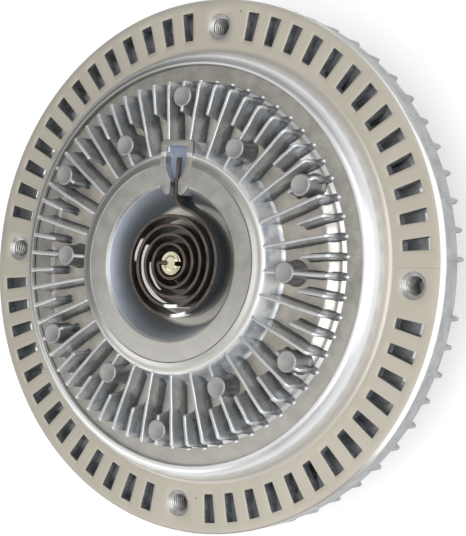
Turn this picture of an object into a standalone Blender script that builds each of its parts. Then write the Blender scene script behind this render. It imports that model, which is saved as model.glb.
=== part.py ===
"""Viscous fan clutch, modelled in metres with +Z along its axis and its front, coil side, facing up.

It stands on the end of the input shaft's hex hub. The housing (body, finned cover and all that they
hold) turns on a ball bearing about the input shaft, which carries the drive rotor inside the housing.
A bimetal coil in the cover's cup turns a control shaft, whose arm covers the ports of the separator plate.
"""
import math

import bmesh
import bpy
import numpy as np
from mathutils import Matrix, Vector

MM = 0.001

# Clearance between pieces, and how far a cutter or a joined piece reaches past what it meets
GAP = 0.3 * MM
OVERLAP = 1.0 * MM

# Counts and turns
HALF_TURN = math.pi
QUARTER_TURN = math.pi / 2
SEGMENTS = 60
ROTOR_SEGMENTS = 30
BEARING_SEGMENTS = 24
SMALL_SEGMENTS = 16
FIN_COUNT = 60
SLOTS_PER_QUADRANT = 13
BOLT_COUNT = 4
PAD_PAIRS = 6
BALL_COUNT = 8
PLATE_SCREW_COUNT = 4
COVER_TURN = math.radians(0.7)

# Input shaft, from the hub end up
HEX_ACROSS_FLATS = 32.0 * MM
HEX_LENGTH = 14.0 * MM
HEX_CHAMFER = 1.6 * MM
SOCKET_RADIUS = 10.4 * MM
SOCKET_DEPTH = 15.0 * MM
SOCKET_MOUTH = 1.3 * MM
SOCKET_CONE = 3.0 * MM
NECK_RADIUS = 14.0 * MM
NECK_LENGTH = 3.2 * MM
FLANGE_OVERHANG = 4.0 * MM
FLANGE_THICKNESS = 2.9 * MM
JOURNAL_RADIUS = 12.5 * MM
ROTOR_SEAT_RADIUS = 10.0 * MM
SHAFT_NOSE = 1.3 * MM

# Ball bearing
BEARING_WIDTH = 12.0 * MM
BALL_RADIUS = 3.6 * MM
RACE_THICKNESS = 1.4 * MM
GROOVE_CLEARANCE = 0.35 * MM
RACE_GAP_SHARE = 0.58
CAGE_THICKNESS = 1.5 * MM
CAGE_RIM = 0.7 * MM
SEAL_THICKNESS = 0.6 * MM

# Body
BEARING_SHOULDER = 3.3 * MM
SHOULDER_THICKNESS = 1.3 * MM
REAR_WALL = 4.5 * MM
HUB_BOSS_WALL = 5.6 * MM
CLIP_THICKNESS = 1.2 * MM
CLIP_DEPTH = 1.6 * MM
CLIP_LIP = 0.8 * MM
CHAMBER_DEPTH = 11.0 * MM
CHAMBER_WALL = 8.0 * MM
SHELL_DRAFT = 2.0 * MM
RING_RADIUS = 95.0 * MM
RING_THICKNESS = 4.0 * MM
RIM_DEPTH = 13.3 * MM
RIM_WALL = 2.5 * MM
EDGE_CHAMFER = 0.5 * MM
SLOT_LENGTH = 10.5 * MM
SLOT_MARGIN = 3.5 * MM
SLOT_INNER_WIDTH = 3.5 * MM
SLOT_OUTER_WIDTH = 4.5 * MM
BOLT_MARGIN = 9.8 * MM
BOLT_HOLE_RADIUS = 3.45 * MM
BOLT_MOUTH_RADIUS = 4.65 * MM
BOLT_BOSS_RADIUS = 6.6 * MM
BOLT_BOSS_DEPTH = 12.0 * MM
SHOULDER_FOOT = 2.4 * MM
SHOULDER_WIDTH = 7.7 * MM
LIP_HEIGHT = 8.6 * MM
LIP_THICKNESS = 1.3 * MM
LIP_OVERLAP = 2.1 * MM
SEAT_HEIGHT = 2.0 * MM
SEAT_WIDTH = 3.6 * MM
REAR_FIN_THICKNESS = 2.4 * MM
REAR_FIN_EDGE = 1.6 * MM
REAR_FIN_MARGIN = 0.6 * MM
SHORT_REAR_FIN_SETBACK = 22.0 * MM
REAR_FIN_OUTER_DEPTH = 18.0 * MM
REAR_FIN_INNER_DEPTH = 25.5 * MM

# Drive rotor
ROTOR_CLEARANCE = 1.5 * MM
ROTOR_WEB = 3.2 * MM
ROTOR_HUB_WALL = 5.2 * MM
LAND_WIDTH = 3.0 * MM
LAND_CLEARANCE = 0.7 * MM
ROTOR_LANDS = 3
RELIEF_HOLES = 6
RELIEF_RADIUS = 3.0 * MM
LOCK_RING_THICKNESS = 1.2 * MM
LOCK_RING_DEPTH = 1.0 * MM
LOCK_RING_WIDTH = 3.6 * MM

# Cover
RIM_TOP = 7.0 * MM
CUP_FLOOR_HEIGHT = 5.0 * MM
CUP_FLOOR_THICKNESS = 3.0 * MM
CUP_MARGIN = 1.9 * MM
CUP_FLARE = 4.7 * MM
FIN_FLOOR = 9.7 * MM
COVER_PLATE = 4.0 * MM
HUB_TOP = 18.55 * MM
HUB_FACE_WIDTH = 7.0 * MM
HUB_BEVEL_WIDTH = 2.2 * MM
HUB_SHELF_WIDTH = 2.2 * MM
HUB_SHELF_DROP = 1.0 * MM
HUB_DRAFT = 2.6 * MM
HUB_CORE_DROP = 7.2 * MM
FIN_TOP = 17.9 * MM
FIN_BASE_THICKNESS = 2.0 * MM
FIN_TOP_THICKNESS = 1.2 * MM
FIN_END_MARGIN = 8.9 * MM
FIN_END_DRAFT = 1.2 * MM
SHORT_FIN_LENGTH = 10.4 * MM
SLOPE_RUN = 3.0 * MM
SLOPE_SETBACK = 1.4 * MM
FOOT_BEVEL_RUN = 2.1 * MM
FOOT_BEVEL_RISE = 1.05 * MM
PAD_RADIUS = 3.7 * MM
INNER_PAD_SETBACK = 16.7 * MM
OUTER_PAD_SETBACK = 5.4 * MM
RESERVOIR_MARGIN = 9.0 * MM
SPIGOT_WIDTH = 8.4 * MM
SPIGOT_DEPTH = 2.2 * MM
GASKET_THICKNESS = 0.7 * MM

# Coil pocket in the cover's hub
POCKET_FLOOR = 15.4 * MM
POCKET_WIDTH = 8.6 * MM
POCKET_LENGTH = 11.8 * MM
THROAT_WIDTH = 3.4 * MM
COLLAR_WALL = 2.4 * MM
PRONG_REACH = 2.8 * MM

# Separator plate, its screws and wipers
PLATE_THICKNESS = 1.0 * MM
PLATE_SCREW_RADIUS = 2.0 * MM
PLATE_SCREW_HEAD = 3.4 * MM
PLATE_SCREW_HEAD_HEIGHT = 1.2 * MM
PLATE_SCREW_LENGTH = 5.5 * MM
PORT_RADIUS = 2.6 * MM
WIPER_LENGTH = 8.0 * MM
WIPER_WIDTH = 3.2 * MM

# Control shaft, arm and coil
SHAFT_POST_RADIUS = 4.3 * MM
SHAFT_JOURNAL_RADIUS = 3.6 * MM
SHAFT_TOP = 17.4 * MM
POST_CHAMFER = 0.6 * MM
SHAFT_SEAL_SECTION = 1.0 * MM
WASHER_THICKNESS = 0.5 * MM
WASHER_RADIUS = 6.8 * MM
BOSS_RADIUS = 7.6 * MM
BOSS_RISE = 1.4 * MM
ARM_THICKNESS = 1.0 * MM
ARM_WIDTH = 8.0 * MM
PAD_OVERLAP = 1.2 * MM
TENON_WIDTH = 4.2 * MM
STRIP_THICKNESS = 1.0 * MM
STRIP_TOP = 17.5 * MM
COIL_PITCH = 3.25 * MM
COIL_TURNS = 4.75
COIL_TUCK = 0.95 * MM
TAIL_TURN = 0.035
COIL_SEGMENTS = 16
TAIL_LENGTH = 12.9 * MM

# Heights above the hub end, worked out from the sizes above
FLANGE_BOTTOM = HEX_LENGTH + NECK_LENGTH
FLANGE_TOP = FLANGE_BOTTOM + FLANGE_THICKNESS
BEARING_BOTTOM = FLANGE_TOP + GAP
BEARING_TOP = BEARING_BOTTOM + BEARING_WIDTH
BEARING_MIDDLE = (BEARING_BOTTOM + BEARING_TOP) / 2
SHOULDER_BOTTOM = BEARING_TOP + GAP
CHAMBER_FLOOR = SHOULDER_BOTTOM + SHOULDER_THICKNESS
FACE = CHAMBER_FLOOR + CHAMBER_DEPTH
REAR_FACE = CHAMBER_FLOOR - REAR_WALL
BODY_BOTTOM = BEARING_BOTTOM - CLIP_THICKNESS - CLIP_LIP - 3 * GAP

# Radii of the bearing, from the shaft out
INNER_RACE_BORE = JOURNAL_RADIUS + GAP
BALL_PATH = INNER_RACE_BORE + RACE_THICKNESS + GROOVE_CLEARANCE + BALL_RADIUS
INNER_RACE_RADIUS = BALL_PATH - BALL_RADIUS * RACE_GAP_SHARE
OUTER_RACE_BORE = BALL_PATH + BALL_RADIUS * RACE_GAP_SHARE
OUTER_RACE_RADIUS = BALL_PATH + BALL_RADIUS + GROOVE_CLEARANCE + RACE_THICKNESS
BEARING_SEAT = OUTER_RACE_RADIUS + GAP
HUB_BOSS_RADIUS = BEARING_SEAT + HUB_BOSS_WALL
SHOULDER_BORE = BEARING_SEAT - BEARING_SHOULDER

# Radii of the body and the cover's rim, from the ring in
SLOT_OUTER = RING_RADIUS - SLOT_MARGIN
SLOT_INNER = SLOT_OUTER - SLOT_LENGTH
BOLT_CIRCLE = RING_RADIUS - BOLT_MARGIN
SHOULDER_RADIUS = SLOT_INNER - SHOULDER_FOOT
LIP_CREST = SHOULDER_RADIUS - SHOULDER_WIDTH
LIP_INNER = LIP_CREST - EDGE_CHAMFER
COVER_SEAT = LIP_INNER + LIP_OVERLAP
COVER_RADIUS = COVER_SEAT - GAP
CHAMBER_RADIUS = COVER_SEAT - SEAT_WIDTH
SHELL_RADIUS = CHAMBER_RADIUS + CHAMBER_WALL
ROTOR_RADIUS = CHAMBER_RADIUS - ROTOR_CLEARANCE
SPIGOT_RADIUS = CHAMBER_RADIUS - GAP
PLATE_SEAT = SPIGOT_RADIUS - SPIGOT_WIDTH
PLATE_RADIUS = PLATE_SEAT - GAP

# Radii of the coil and the cover's hub, from the axis out
COIL_START = SHAFT_POST_RADIUS + STRIP_THICKNESS
COIL_RADIUS = COIL_START - COIL_TUCK + COIL_PITCH * COIL_TURNS
CUP_FLOOR_RADIUS = COIL_RADIUS + CUP_MARGIN
CUP_MOUTH = CUP_FLOOR_RADIUS + CUP_FLARE
HUB_FACE_INNER = CUP_MOUTH + 1.2 * MM
HUB_FACE_OUTER = HUB_FACE_INNER + HUB_FACE_WIDTH
HUB_SHELF_INNER = HUB_FACE_OUTER + HUB_BEVEL_WIDTH
HUB_SHELF_OUTER = HUB_SHELF_INNER + HUB_SHELF_WIDTH
HUB_FOOT = HUB_SHELF_OUTER + HUB_DRAFT
FIN_OUTER = COVER_RADIUS - FIN_END_MARGIN
FIN_FOOT = FIN_OUTER + FIN_END_DRAFT
SLOPE_OUTER = FIN_OUTER - SLOPE_SETBACK
SLOPE_INNER = SLOPE_OUTER - SLOPE_RUN
SHORT_FIN_START = FIN_OUTER - SHORT_FIN_LENGTH
INNER_PADS = FIN_OUTER - INNER_PAD_SETBACK
OUTER_PADS = FIN_OUTER - OUTER_PAD_SETBACK
RESERVOIR_RADIUS = PLATE_SEAT - RESERVOIR_MARGIN
PLATE_SCREW_CIRCLE = (RESERVOIR_RADIUS + PLATE_SEAT) / 2
PORT_CIRCLE = RESERVOIR_RADIUS - PORT_RADIUS - PAD_OVERLAP - 1.2 * MM

# Heights of the pieces above the ring's face
SPIGOT_BOTTOM = FACE - SPIGOT_DEPTH
PLATE_BOTTOM = SPIGOT_BOTTOM
PLATE_TOP = PLATE_BOTTOM + PLATE_THICKNESS
PLATE_LEDGE = PLATE_TOP + GAP
ARM_BOTTOM = PLATE_TOP + GAP
ARM_TOP = ARM_BOTTOM + ARM_THICKNESS
BOSS_BOTTOM = ARM_TOP + GAP
RIM_UNDERSIDE = FACE + SEAT_HEIGHT + GASKET_THICKNESS + 2 * GAP
CUP_FLOOR = FACE + CUP_FLOOR_HEIGHT
CUP_UNDERSIDE = CUP_FLOOR - CUP_FLOOR_THICKNESS
BOSS_TOP = CUP_FLOOR + BOSS_RISE
WASHER_BOTTOM = BOSS_TOP + GAP
WASHER_TOP = WASHER_BOTTOM + WASHER_THICKNESS
POST_BOTTOM = WASHER_TOP + GAP
STRIP_BOTTOM = POST_BOTTOM + GAP
ROTOR_TOP = PLATE_BOTTOM - PLATE_SCREW_HEAD_HEIGHT - 0.8 * MM
ROTOR_UNDERSIDE = ROTOR_TOP - ROTOR_WEB
ROTOR_LAND_BOTTOM = CHAMBER_FLOOR + LAND_CLEARANCE
BODY_LAND_TOP = ROTOR_UNDERSIDE - LAND_CLEARANCE
NOSE_TOP = PLATE_BOTTOM - LAND_CLEARANCE
LOCK_GROOVE_TOP = NOSE_TOP - SHAFT_NOSE
LOCK_GROOVE_BOTTOM = LOCK_GROOVE_TOP - LOCK_RING_THICKNESS - GAP
ROTOR_HUB_TOP = LOCK_GROOVE_BOTTOM - 0.1 * MM


def material(name, color, roughness, metallic):
    """A Principled material with one colour, roughness and metallic value."""
    made = bpy.data.materials.new(name)
    made.use_nodes = True
    shader = made.node_tree.nodes["Principled BSDF"]
    shader.inputs["Base Color"].default_value = (*color, 1.0)
    shader.inputs["Roughness"].default_value = roughness
    shader.inputs["Metallic"].default_value = metallic
    made.diffuse_color = (*color, 1.0)
    return made


def object_from(name, bm, finish=None, smooth=True):
    """Turns a bmesh into an object of the scene, with its faces pointing outwards."""
    bmesh.ops.remove_doubles(bm, verts=bm.verts, dist=1e-6)
    bmesh.ops.recalc_face_normals(bm, faces=bm.faces)
    mesh = bpy.data.meshes.new(name)
    bm.to_mesh(mesh)
    bm.free()
    made = bpy.data.objects.new(name, mesh)
    bpy.context.scene.collection.objects.link(made)
    if finish:
        mesh.materials.append(material(name + "_finish", *finish))
    if smooth:
        mesh.shade_smooth()
        mesh.set_sharp_from_angle(angle=math.radians(35))
    return made


def turned(bm, profile, segments=SEGMENTS, turn=0.0):
    """Revolves a closed outline of (radius, height) points about the Z axis."""
    outline = [bm.verts.new((r * math.cos(turn), r * math.sin(turn), z)) for r, z in profile]
    edges = [bm.edges.new((a, b)) for a, b in zip(outline, outline[1:] + outline[:1])]
    bmesh.ops.spin(
        bm,
        geom=outline + edges,
        cent=(0, 0, 0),
        axis=(0, 0, 1),
        angle=math.tau,
        steps=segments,
        use_merge=True,
    )
    bmesh.ops.remove_doubles(bm, verts=bm.verts, dist=1e-6)
    loose = [edge for edge in bm.edges if not edge.link_faces]
    bmesh.ops.delete(bm, geom=loose, context="EDGES")
    on_axis = [vert for vert in bm.verts if vert.co.xy.length < 1e-7]
    flat = [v for v in on_axis if all(abs(e.other_vert(v).co.z - v.co.z) < 1e-7 for e in v.link_edges)]
    bmesh.ops.dissolve_verts(bm, verts=flat)


def turned_object(name, profile, finish=None, segments=SEGMENTS):
    bm = bmesh.new()
    turned(bm, profile, segments)
    return object_from(name, bm, finish)


def prism(bm, outline, low, high, matrix=Matrix()):
    """Raises a flat (x, y) outline from one height to another."""
    bottom = [bm.verts.new(matrix @ Vector((x, y, low))) for x, y in outline]
    top = [bm.verts.new(matrix @ Vector((x, y, high))) for x, y in outline]
    bm.faces.new(bottom[::-1])
    bm.faces.new(top)
    for i in range(len(outline)):
        j = (i + 1) % len(outline)
        bm.faces.new((bottom[i], bottom[j], top[j], top[i]))


def circle(radius, segments, center=(0.0, 0.0)):
    angles = np.arange(segments) * math.tau / segments
    return [(center[0] + radius * math.cos(a), center[1] + radius * math.sin(a)) for a in angles]


def arc(center, radius, start, end, steps):
    """Points along an arc, in the plane of a profile or an outline."""
    angles = np.radians(np.linspace(start, end, steps + 1))
    return [(center[0] + radius * math.cos(a), center[1] + radius * math.sin(a)) for a in angles]


def turned_by(angle):
    return Matrix.Rotation(angle, 4, "Z")


def radial_web(bm, outline, thickness_at, angle):
    """A fin standing on a radius: an (r, z) outline whose thickness follows the height."""
    matrix = turned_by(angle)
    sides = []
    for sign in (-1, 1):
        side = [Vector((r, sign * thickness_at(z) / 2, z)) for r, z in outline]
        sides.append([bm.verts.new(matrix @ point) for point in side])
    bm.faces.new(sides[0][::-1])
    bm.faces.new(sides[1])
    for i in range(len(outline)):
        j = (i + 1) % len(outline)
        bm.faces.new((sides[0][i], sides[0][j], sides[1][j], sides[1][i]))


def helper(name, bm):
    """An object that only cuts or joins, left out of the model."""
    made = object_from(name, bm, smooth=False)
    made.hide_render = True
    made.display_type = "WIRE"
    return made


def boolean(target, tool, operation):
    modifier = target.modifiers.new(tool.name, "BOOLEAN")
    modifier.object = tool
    modifier.operation = operation
    modifier.solver = "EXACT"


def linear(low, low_value, high, high_value):
    """A size that changes evenly with height."""
    return lambda z: low_value + (high_value - low_value) * (z - low) / (high - low)


ALUMINIUM = ((0.50, 0.48, 0.44), 0.42, 0.9)
STEEL = ((0.36, 0.36, 0.37), 0.3, 1.0)
BRIGHT_STEEL = ((0.55, 0.55, 0.56), 0.2, 1.0)
BRASS = ((0.62, 0.55, 0.36), 0.3, 1.0)
BRONZE = ((0.16, 0.11, 0.08), 0.35, 0.9)
RUBBER = ((0.02, 0.02, 0.02), 0.6, 0.0)
NYLON = ((0.60, 0.56, 0.44), 0.5, 0.0)


def rotor_land_radii():
    """Inner and outer radius of each land under the rotor, the last one at its rim."""
    pitch = 2 * (LAND_WIDTH + LAND_CLEARANCE)
    outer = [ROTOR_RADIUS - i * pitch for i in range(ROTOR_LANDS)]
    return [(radius - LAND_WIDTH, radius) for radius in reversed(outer)]


def body_land_radii():
    """The body's lands stand in the grooves between the rotor's."""
    lands = rotor_land_radii()
    return [(a[1] + LAND_CLEARANCE, b[0] - LAND_CLEARANCE) for a, b in zip(lands, lands[1:])]


def shoulder_curve(steps=4, power=1.3):
    """The turned shoulder, from the lip's crest down to the ring's face."""
    points = []
    for i in range(1, steps + 1):
        angle = math.pi / 2 * (1 - i / steps)
        r = LIP_CREST + SHOULDER_WIDTH * math.cos(angle) ** (2 / power)
        z = FACE + LIP_HEIGHT * max(math.sin(angle), 0.0) ** (2 / power)
        points.append((r, z))
    return points


def body_profile():
    """The body's outline, still filled in round the axis behind the chamber."""
    lip_top = FACE + LIP_HEIGHT
    lip_under = lip_top - LIP_THICKNESS
    points = [
        (RING_RADIUS - EDGE_CHAMFER, FACE),
        (RING_RADIUS, FACE - EDGE_CHAMFER),
        (RING_RADIUS, FACE - RIM_DEPTH),
        (RING_RADIUS - RIM_WALL, FACE - RIM_DEPTH),
        (RING_RADIUS - RIM_WALL - EDGE_CHAMFER, FACE - RING_THICKNESS),
        (SHELL_RADIUS, FACE - RING_THICKNESS),
        (SHELL_RADIUS - SHELL_DRAFT, REAR_FACE),
        (HUB_BOSS_RADIUS + 1.0 * MM, REAR_FACE),
        (HUB_BOSS_RADIUS, BODY_BOTTOM),
        (0, BODY_BOTTOM),
        (0, CHAMBER_FLOOR),
        (CHAMBER_RADIUS, CHAMBER_FLOOR),
        (CHAMBER_RADIUS, FACE + SEAT_HEIGHT),
        (COVER_SEAT, FACE + SEAT_HEIGHT),
        (COVER_SEAT, lip_under),
        (LIP_INNER, lip_under),
        (LIP_INNER, lip_top - EDGE_CHAMFER),
        (LIP_CREST, lip_top),
    ]
    return points + shoulder_curve()


def bearing_bore():
    """The bearing's seat, open at the back, with the clip's groove and a shoulder in front."""
    clip_low = BEARING_BOTTOM - CLIP_THICKNESS - 2 * GAP
    profile = [
        (0, BODY_BOTTOM - OVERLAP),
        (BEARING_SEAT, BODY_BOTTOM - OVERLAP),
        (BEARING_SEAT, clip_low),
        (BEARING_SEAT + CLIP_DEPTH, clip_low),
        (BEARING_SEAT + CLIP_DEPTH, BEARING_BOTTOM),
        (BEARING_SEAT, BEARING_BOTTOM),
        (BEARING_SEAT, SHOULDER_BOTTOM),
        (SHOULDER_BORE, SHOULDER_BOTTOM),
        (SHOULDER_BORE, CHAMBER_FLOOR + OVERLAP),
        (0, CHAMBER_FLOOR + OVERLAP),
    ]
    bm = bmesh.new()
    turned(bm, profile, BEARING_SEGMENTS)
    return helper("bearing_bore", bm)


def body_lands():
    """Ring-shaped lands that stand up from the chamber's floor."""
    bm = bmesh.new()
    for inner, outer in body_land_radii():
        low = CHAMBER_FLOOR - OVERLAP
        profile = [(outer, BODY_LAND_TOP), (outer, low), (inner, low), (inner, BODY_LAND_TOP)]
        turned(bm, profile, ROTOR_SEGMENTS)
    return helper("body_lands", bm)


def slot_outline():
    inner, outer = SLOT_INNER_WIDTH / 2, SLOT_OUTER_WIDTH / 2
    return [(SLOT_INNER, -inner), (SLOT_OUTER, -outer), (SLOT_OUTER, outer), (SLOT_INNER, inner)]


def slot_angles():
    """Thirteen slots between each two bolt holes, one fin's pitch apart."""
    pitch = math.tau / FIN_COUNT
    quadrant = math.tau / BOLT_COUNT
    first = quadrant / 2 - pitch * (SLOTS_PER_QUADRANT - 1) / 2
    return [q * quadrant + first + i * pitch for q in range(BOLT_COUNT) for i in range(SLOTS_PER_QUADRANT)]


def rear_fins():
    """Cast fins behind the ring: every other one runs in to the hub, and none meets a bolt boss."""
    thickness = linear(FACE - REAR_FIN_INNER_DEPTH, REAR_FIN_EDGE, REAR_FACE, REAR_FIN_THICKNESS)
    outer = RING_RADIUS - REAR_FIN_MARGIN
    slope = (REAR_FIN_INNER_DEPTH - REAR_FIN_OUTER_DEPTH) / (outer - HUB_BOSS_RADIUS)
    root = REAR_FACE + OVERLAP
    bm = bmesh.new()
    for i in range(FIN_COUNT):
        at_bolt = i % (FIN_COUNT // BOLT_COUNT) == 0
        inner = HUB_BOSS_RADIUS + (SHORT_REAR_FIN_SETBACK if i % 2 else -1.5 * OVERLAP)
        inner_low = FACE - REAR_FIN_INNER_DEPTH + slope * (inner - HUB_BOSS_RADIUS)
        end = BOLT_CIRCLE - BOLT_BOSS_RADIUS / 2 if at_bolt else outer
        end_low = FACE - REAR_FIN_INNER_DEPTH + slope * (end - HUB_BOSS_RADIUS)
        outline = [
            (inner, root),
            (inner, max(inner_low, BODY_BOTTOM)),
            (end, end_low),
            (end, FACE - RING_THICKNESS + OVERLAP),
            (SHELL_RADIUS - SHELL_DRAFT, FACE - RING_THICKNESS + OVERLAP),
            (SHELL_RADIUS - 2 * SHELL_DRAFT, root),
        ]
        radial_web(bm, outline, thickness, i * math.tau / FIN_COUNT)
    return helper("rear_fins", bm)


def bolt_bosses():
    bm = bmesh.new()
    for i in range(BOLT_COUNT):
        matrix = turned_by(i * math.tau / BOLT_COUNT)
        outline = circle(BOLT_BOSS_RADIUS, 8, (BOLT_CIRCLE, 0))
        prism(bm, outline, FACE - BOLT_BOSS_DEPTH, FACE - RING_THICKNESS + OVERLAP, matrix)
    return helper("bolt_bosses", bm)


def slots():
    bm = bmesh.new()
    for angle in slot_angles():
        prism(bm, slot_outline(), FACE - RING_THICKNESS - OVERLAP, FACE + OVERLAP, turned_by(angle))
    return helper("slots", bm)


def bolt_holes():
    """Tapped holes with a countersunk mouth, right through the bosses."""
    bm = bmesh.new()
    sink = BOLT_MOUTH_RADIUS - BOLT_HOLE_RADIUS
    low = FACE - REAR_FIN_INNER_DEPTH
    profile = [
        (0, FACE + OVERLAP),
        (BOLT_MOUTH_RADIUS + OVERLAP, FACE + OVERLAP),
        (BOLT_HOLE_RADIUS, FACE - sink),
        (BOLT_HOLE_RADIUS, low),
        (0, low),
    ]
    for i in range(BOLT_COUNT):
        single = bmesh.new()
        turned(single, profile, 10)
        place = turned_by(i * math.tau / BOLT_COUNT) @ Matrix.Translation((BOLT_CIRCLE, 0, 0))
        bmesh.ops.transform(single, matrix=place, verts=single.verts)
        scratch = bpy.data.meshes.new("bolt_hole")
        single.to_mesh(scratch)
        single.free()
        bm.from_mesh(scratch)
        bpy.data.meshes.remove(scratch)
    return helper("bolt_holes", bm)


def make_body():
    body = turned_object("clutch_body", body_profile(), ALUMINIUM)
    boolean(body, rear_fins(), "UNION")
    boolean(body, bolt_bosses(), "UNION")
    boolean(body, body_lands(), "UNION")
    boolean(body, bearing_bore(), "DIFFERENCE")
    boolean(body, slots(), "DIFFERENCE")
    boolean(body, bolt_holes(), "DIFFERENCE")
    return body


def cover_profile():
    """The cover's outline, still filled in behind its hub and reservoir."""
    top = FACE + HUB_TOP
    shelf = top - HUB_SHELF_DROP
    floor = FACE + FIN_FLOOR
    return [
        (COVER_RADIUS, RIM_UNDERSIDE),
        (COVER_RADIUS, FACE + RIM_TOP),
        (SLOPE_OUTER + FOOT_BEVEL_RUN, FACE + RIM_TOP),
        (SLOPE_OUTER, FACE + RIM_TOP + FOOT_BEVEL_RISE),
        (SLOPE_INNER, floor),
        (HUB_FOOT, floor),
        (HUB_SHELF_OUTER, shelf),
        (HUB_SHELF_INNER, shelf),
        (HUB_FACE_OUTER, top),
        (HUB_FACE_INNER, top),
        (CUP_MOUTH, top - 0.9 * MM),
        (CUP_FLOOR_RADIUS - 0.7 * MM, CUP_FLOOR),
        (0, CUP_FLOOR),
        (0, PLATE_LEDGE),
        (PLATE_SEAT, PLATE_LEDGE),
        (PLATE_SEAT, SPIGOT_BOTTOM),
        (SPIGOT_RADIUS, SPIGOT_BOTTOM),
        (SPIGOT_RADIUS, RIM_UNDERSIDE),
    ]


def shaft_boss():
    bm = bmesh.new()
    low = CUP_FLOOR - OVERLAP
    turned(bm, [(0, BOSS_TOP), (BOSS_RADIUS, BOSS_TOP), (BOSS_RADIUS, low), (0, low)], SMALL_SEGMENTS)
    return helper("shaft_boss", bm)


def reservoir():
    """The fluid reservoir behind the cover, and the recess round its hub."""
    underside = FACE + FIN_FLOOR - COVER_PLATE
    core_top = FACE + HUB_TOP - HUB_CORE_DROP
    low = PLATE_LEDGE - OVERLAP
    profile = [
        (0, low),
        (RESERVOIR_RADIUS, low),
        (RESERVOIR_RADIUS, underside),
        (HUB_SHELF_OUTER - 1.2 * MM, underside),
        (HUB_FACE_OUTER + 1.2 * MM, core_top),
        (HUB_FACE_INNER + 4.2 * MM, core_top),
        (HUB_FACE_INNER + 0.6 * MM, CUP_UNDERSIDE),
        (BOSS_RADIUS + 1.4 * MM, CUP_UNDERSIDE),
        (BOSS_RADIUS + 1.4 * MM, BOSS_BOTTOM),
        (0, BOSS_BOTTOM),
    ]
    bm = bmesh.new()
    turned(bm, profile, BEARING_SEGMENTS)
    return helper("reservoir", bm)


def shaft_bore():
    bm = bmesh.new()
    outline = circle(SHAFT_JOURNAL_RADIUS + GAP, SMALL_SEGMENTS)
    prism(bm, outline, BOSS_BOTTOM - OVERLAP, BOSS_TOP + OVERLAP)
    return helper("shaft_bore", bm)


def fin_outline(start, rooted):
    """A cover fin's outline: rooted fins start in the hub's wall, short ones at a sloping end."""
    top = FACE + FIN_TOP
    floor = FACE + FIN_FLOOR
    root = floor - OVERLAP
    if rooted:
        inner = [(start - 0.4 * MM, root), (start + 0.3 * MM, top)]
    else:
        inner = [(start - 0.9 * MM, root), (start + 0.3 * MM, top)]
    return inner + [
        (FIN_OUTER - 0.8 * MM, top),
        (FIN_OUTER + 0.1 * MM, top - 0.9 * MM),
        (FIN_FOOT, FACE + RIM_TOP - OVERLAP),
        (SLOPE_OUTER, FACE + RIM_TOP - OVERLAP),
        (SLOPE_INNER, root),
    ]


def cover_fins():
    """Sixty radial fins, long ones from the hub and short ones between them."""
    thickness = linear(FACE + FIN_FLOOR, FIN_BASE_THICKNESS, FACE + FIN_TOP, FIN_TOP_THICKNESS)
    bm = bmesh.new()
    for i in range(FIN_COUNT):
        rooted = i % 2 == 0
        start = HUB_SHELF_OUTER if rooted else SHORT_FIN_START
        radial_web(bm, fin_outline(start, rooted), thickness, i * math.tau / FIN_COUNT)
    return helper("cover_fins", bm)


def cover_pads():
    """Flat round pads for pushing the casting out: inner ones on long fins, outer ones on short fins."""
    bm = bmesh.new()
    top = FACE + FIN_TOP + 0.1 * MM
    for i in range(2 * PAD_PAIRS):
        radius = INNER_PADS if i % 2 == 0 else OUTER_PADS
        matrix = turned_by(i * math.pi / PAD_PAIRS)
        low = FACE + (RIM_TOP if i % 2 else FIN_FLOOR) - OVERLAP
        prism(bm, circle(PAD_RADIUS, 10, (radius, 0)), low, top, matrix)
    return helper("cover_pads", bm)


def pocket_radii():
    """Where the throat ends and the pocket's far end, measured from the axis."""
    throat_end = HUB_FACE_INNER + 1.3 * MM
    return throat_end, throat_end + POCKET_LENGTH


def coil_collar():
    """The flat collar round the coil's pocket, and the two prongs beside its throat."""
    bm = bmesh.new()
    quarter = turned_by(QUARTER_TURN)
    top = FACE + HUB_TOP - 0.02 * MM
    half = POCKET_WIDTH / 2 + COLLAR_WALL
    _, end = pocket_radii()
    outer = end + COLLAR_WALL - 0.3 * MM
    collar = [
        (HUB_FACE_OUTER - 1.5 * MM, -half),
        (outer - 0.8 * MM, -half),
        (outer, -half + 0.8 * MM),
        (outer, half - 0.8 * MM),
        (outer - 0.8 * MM, half),
        (HUB_FACE_OUTER - 1.5 * MM, half),
    ]
    prism(bm, collar, FACE + FIN_FLOOR - OVERLAP, top, quarter)
    tip = CUP_MOUTH - PRONG_REACH
    side = THROAT_WIDTH / 2
    prongs = [
        (HUB_FACE_INNER + 1.0 * MM, -side - 4.6 * MM),
        (CUP_MOUTH - 0.4 * MM, -side - 4.2 * MM),
        (tip + 0.7 * MM, -side - 2.2 * MM),
        (tip, -side - 1.3 * MM),
        (tip + 0.3 * MM, -side - 0.4 * MM),
        (tip + 0.3 * MM, side + 0.4 * MM),
        (tip, side + 1.3 * MM),
        (tip + 0.7 * MM, side + 2.2 * MM),
        (CUP_MOUTH - 0.4 * MM, side + 4.2 * MM),
        (HUB_FACE_INNER + 1.0 * MM, side + 4.6 * MM),
    ]
    prism(bm, prongs, CUP_FLOOR + 4.0 * MM, top, quarter)
    return helper("coil_collar", bm)


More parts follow.
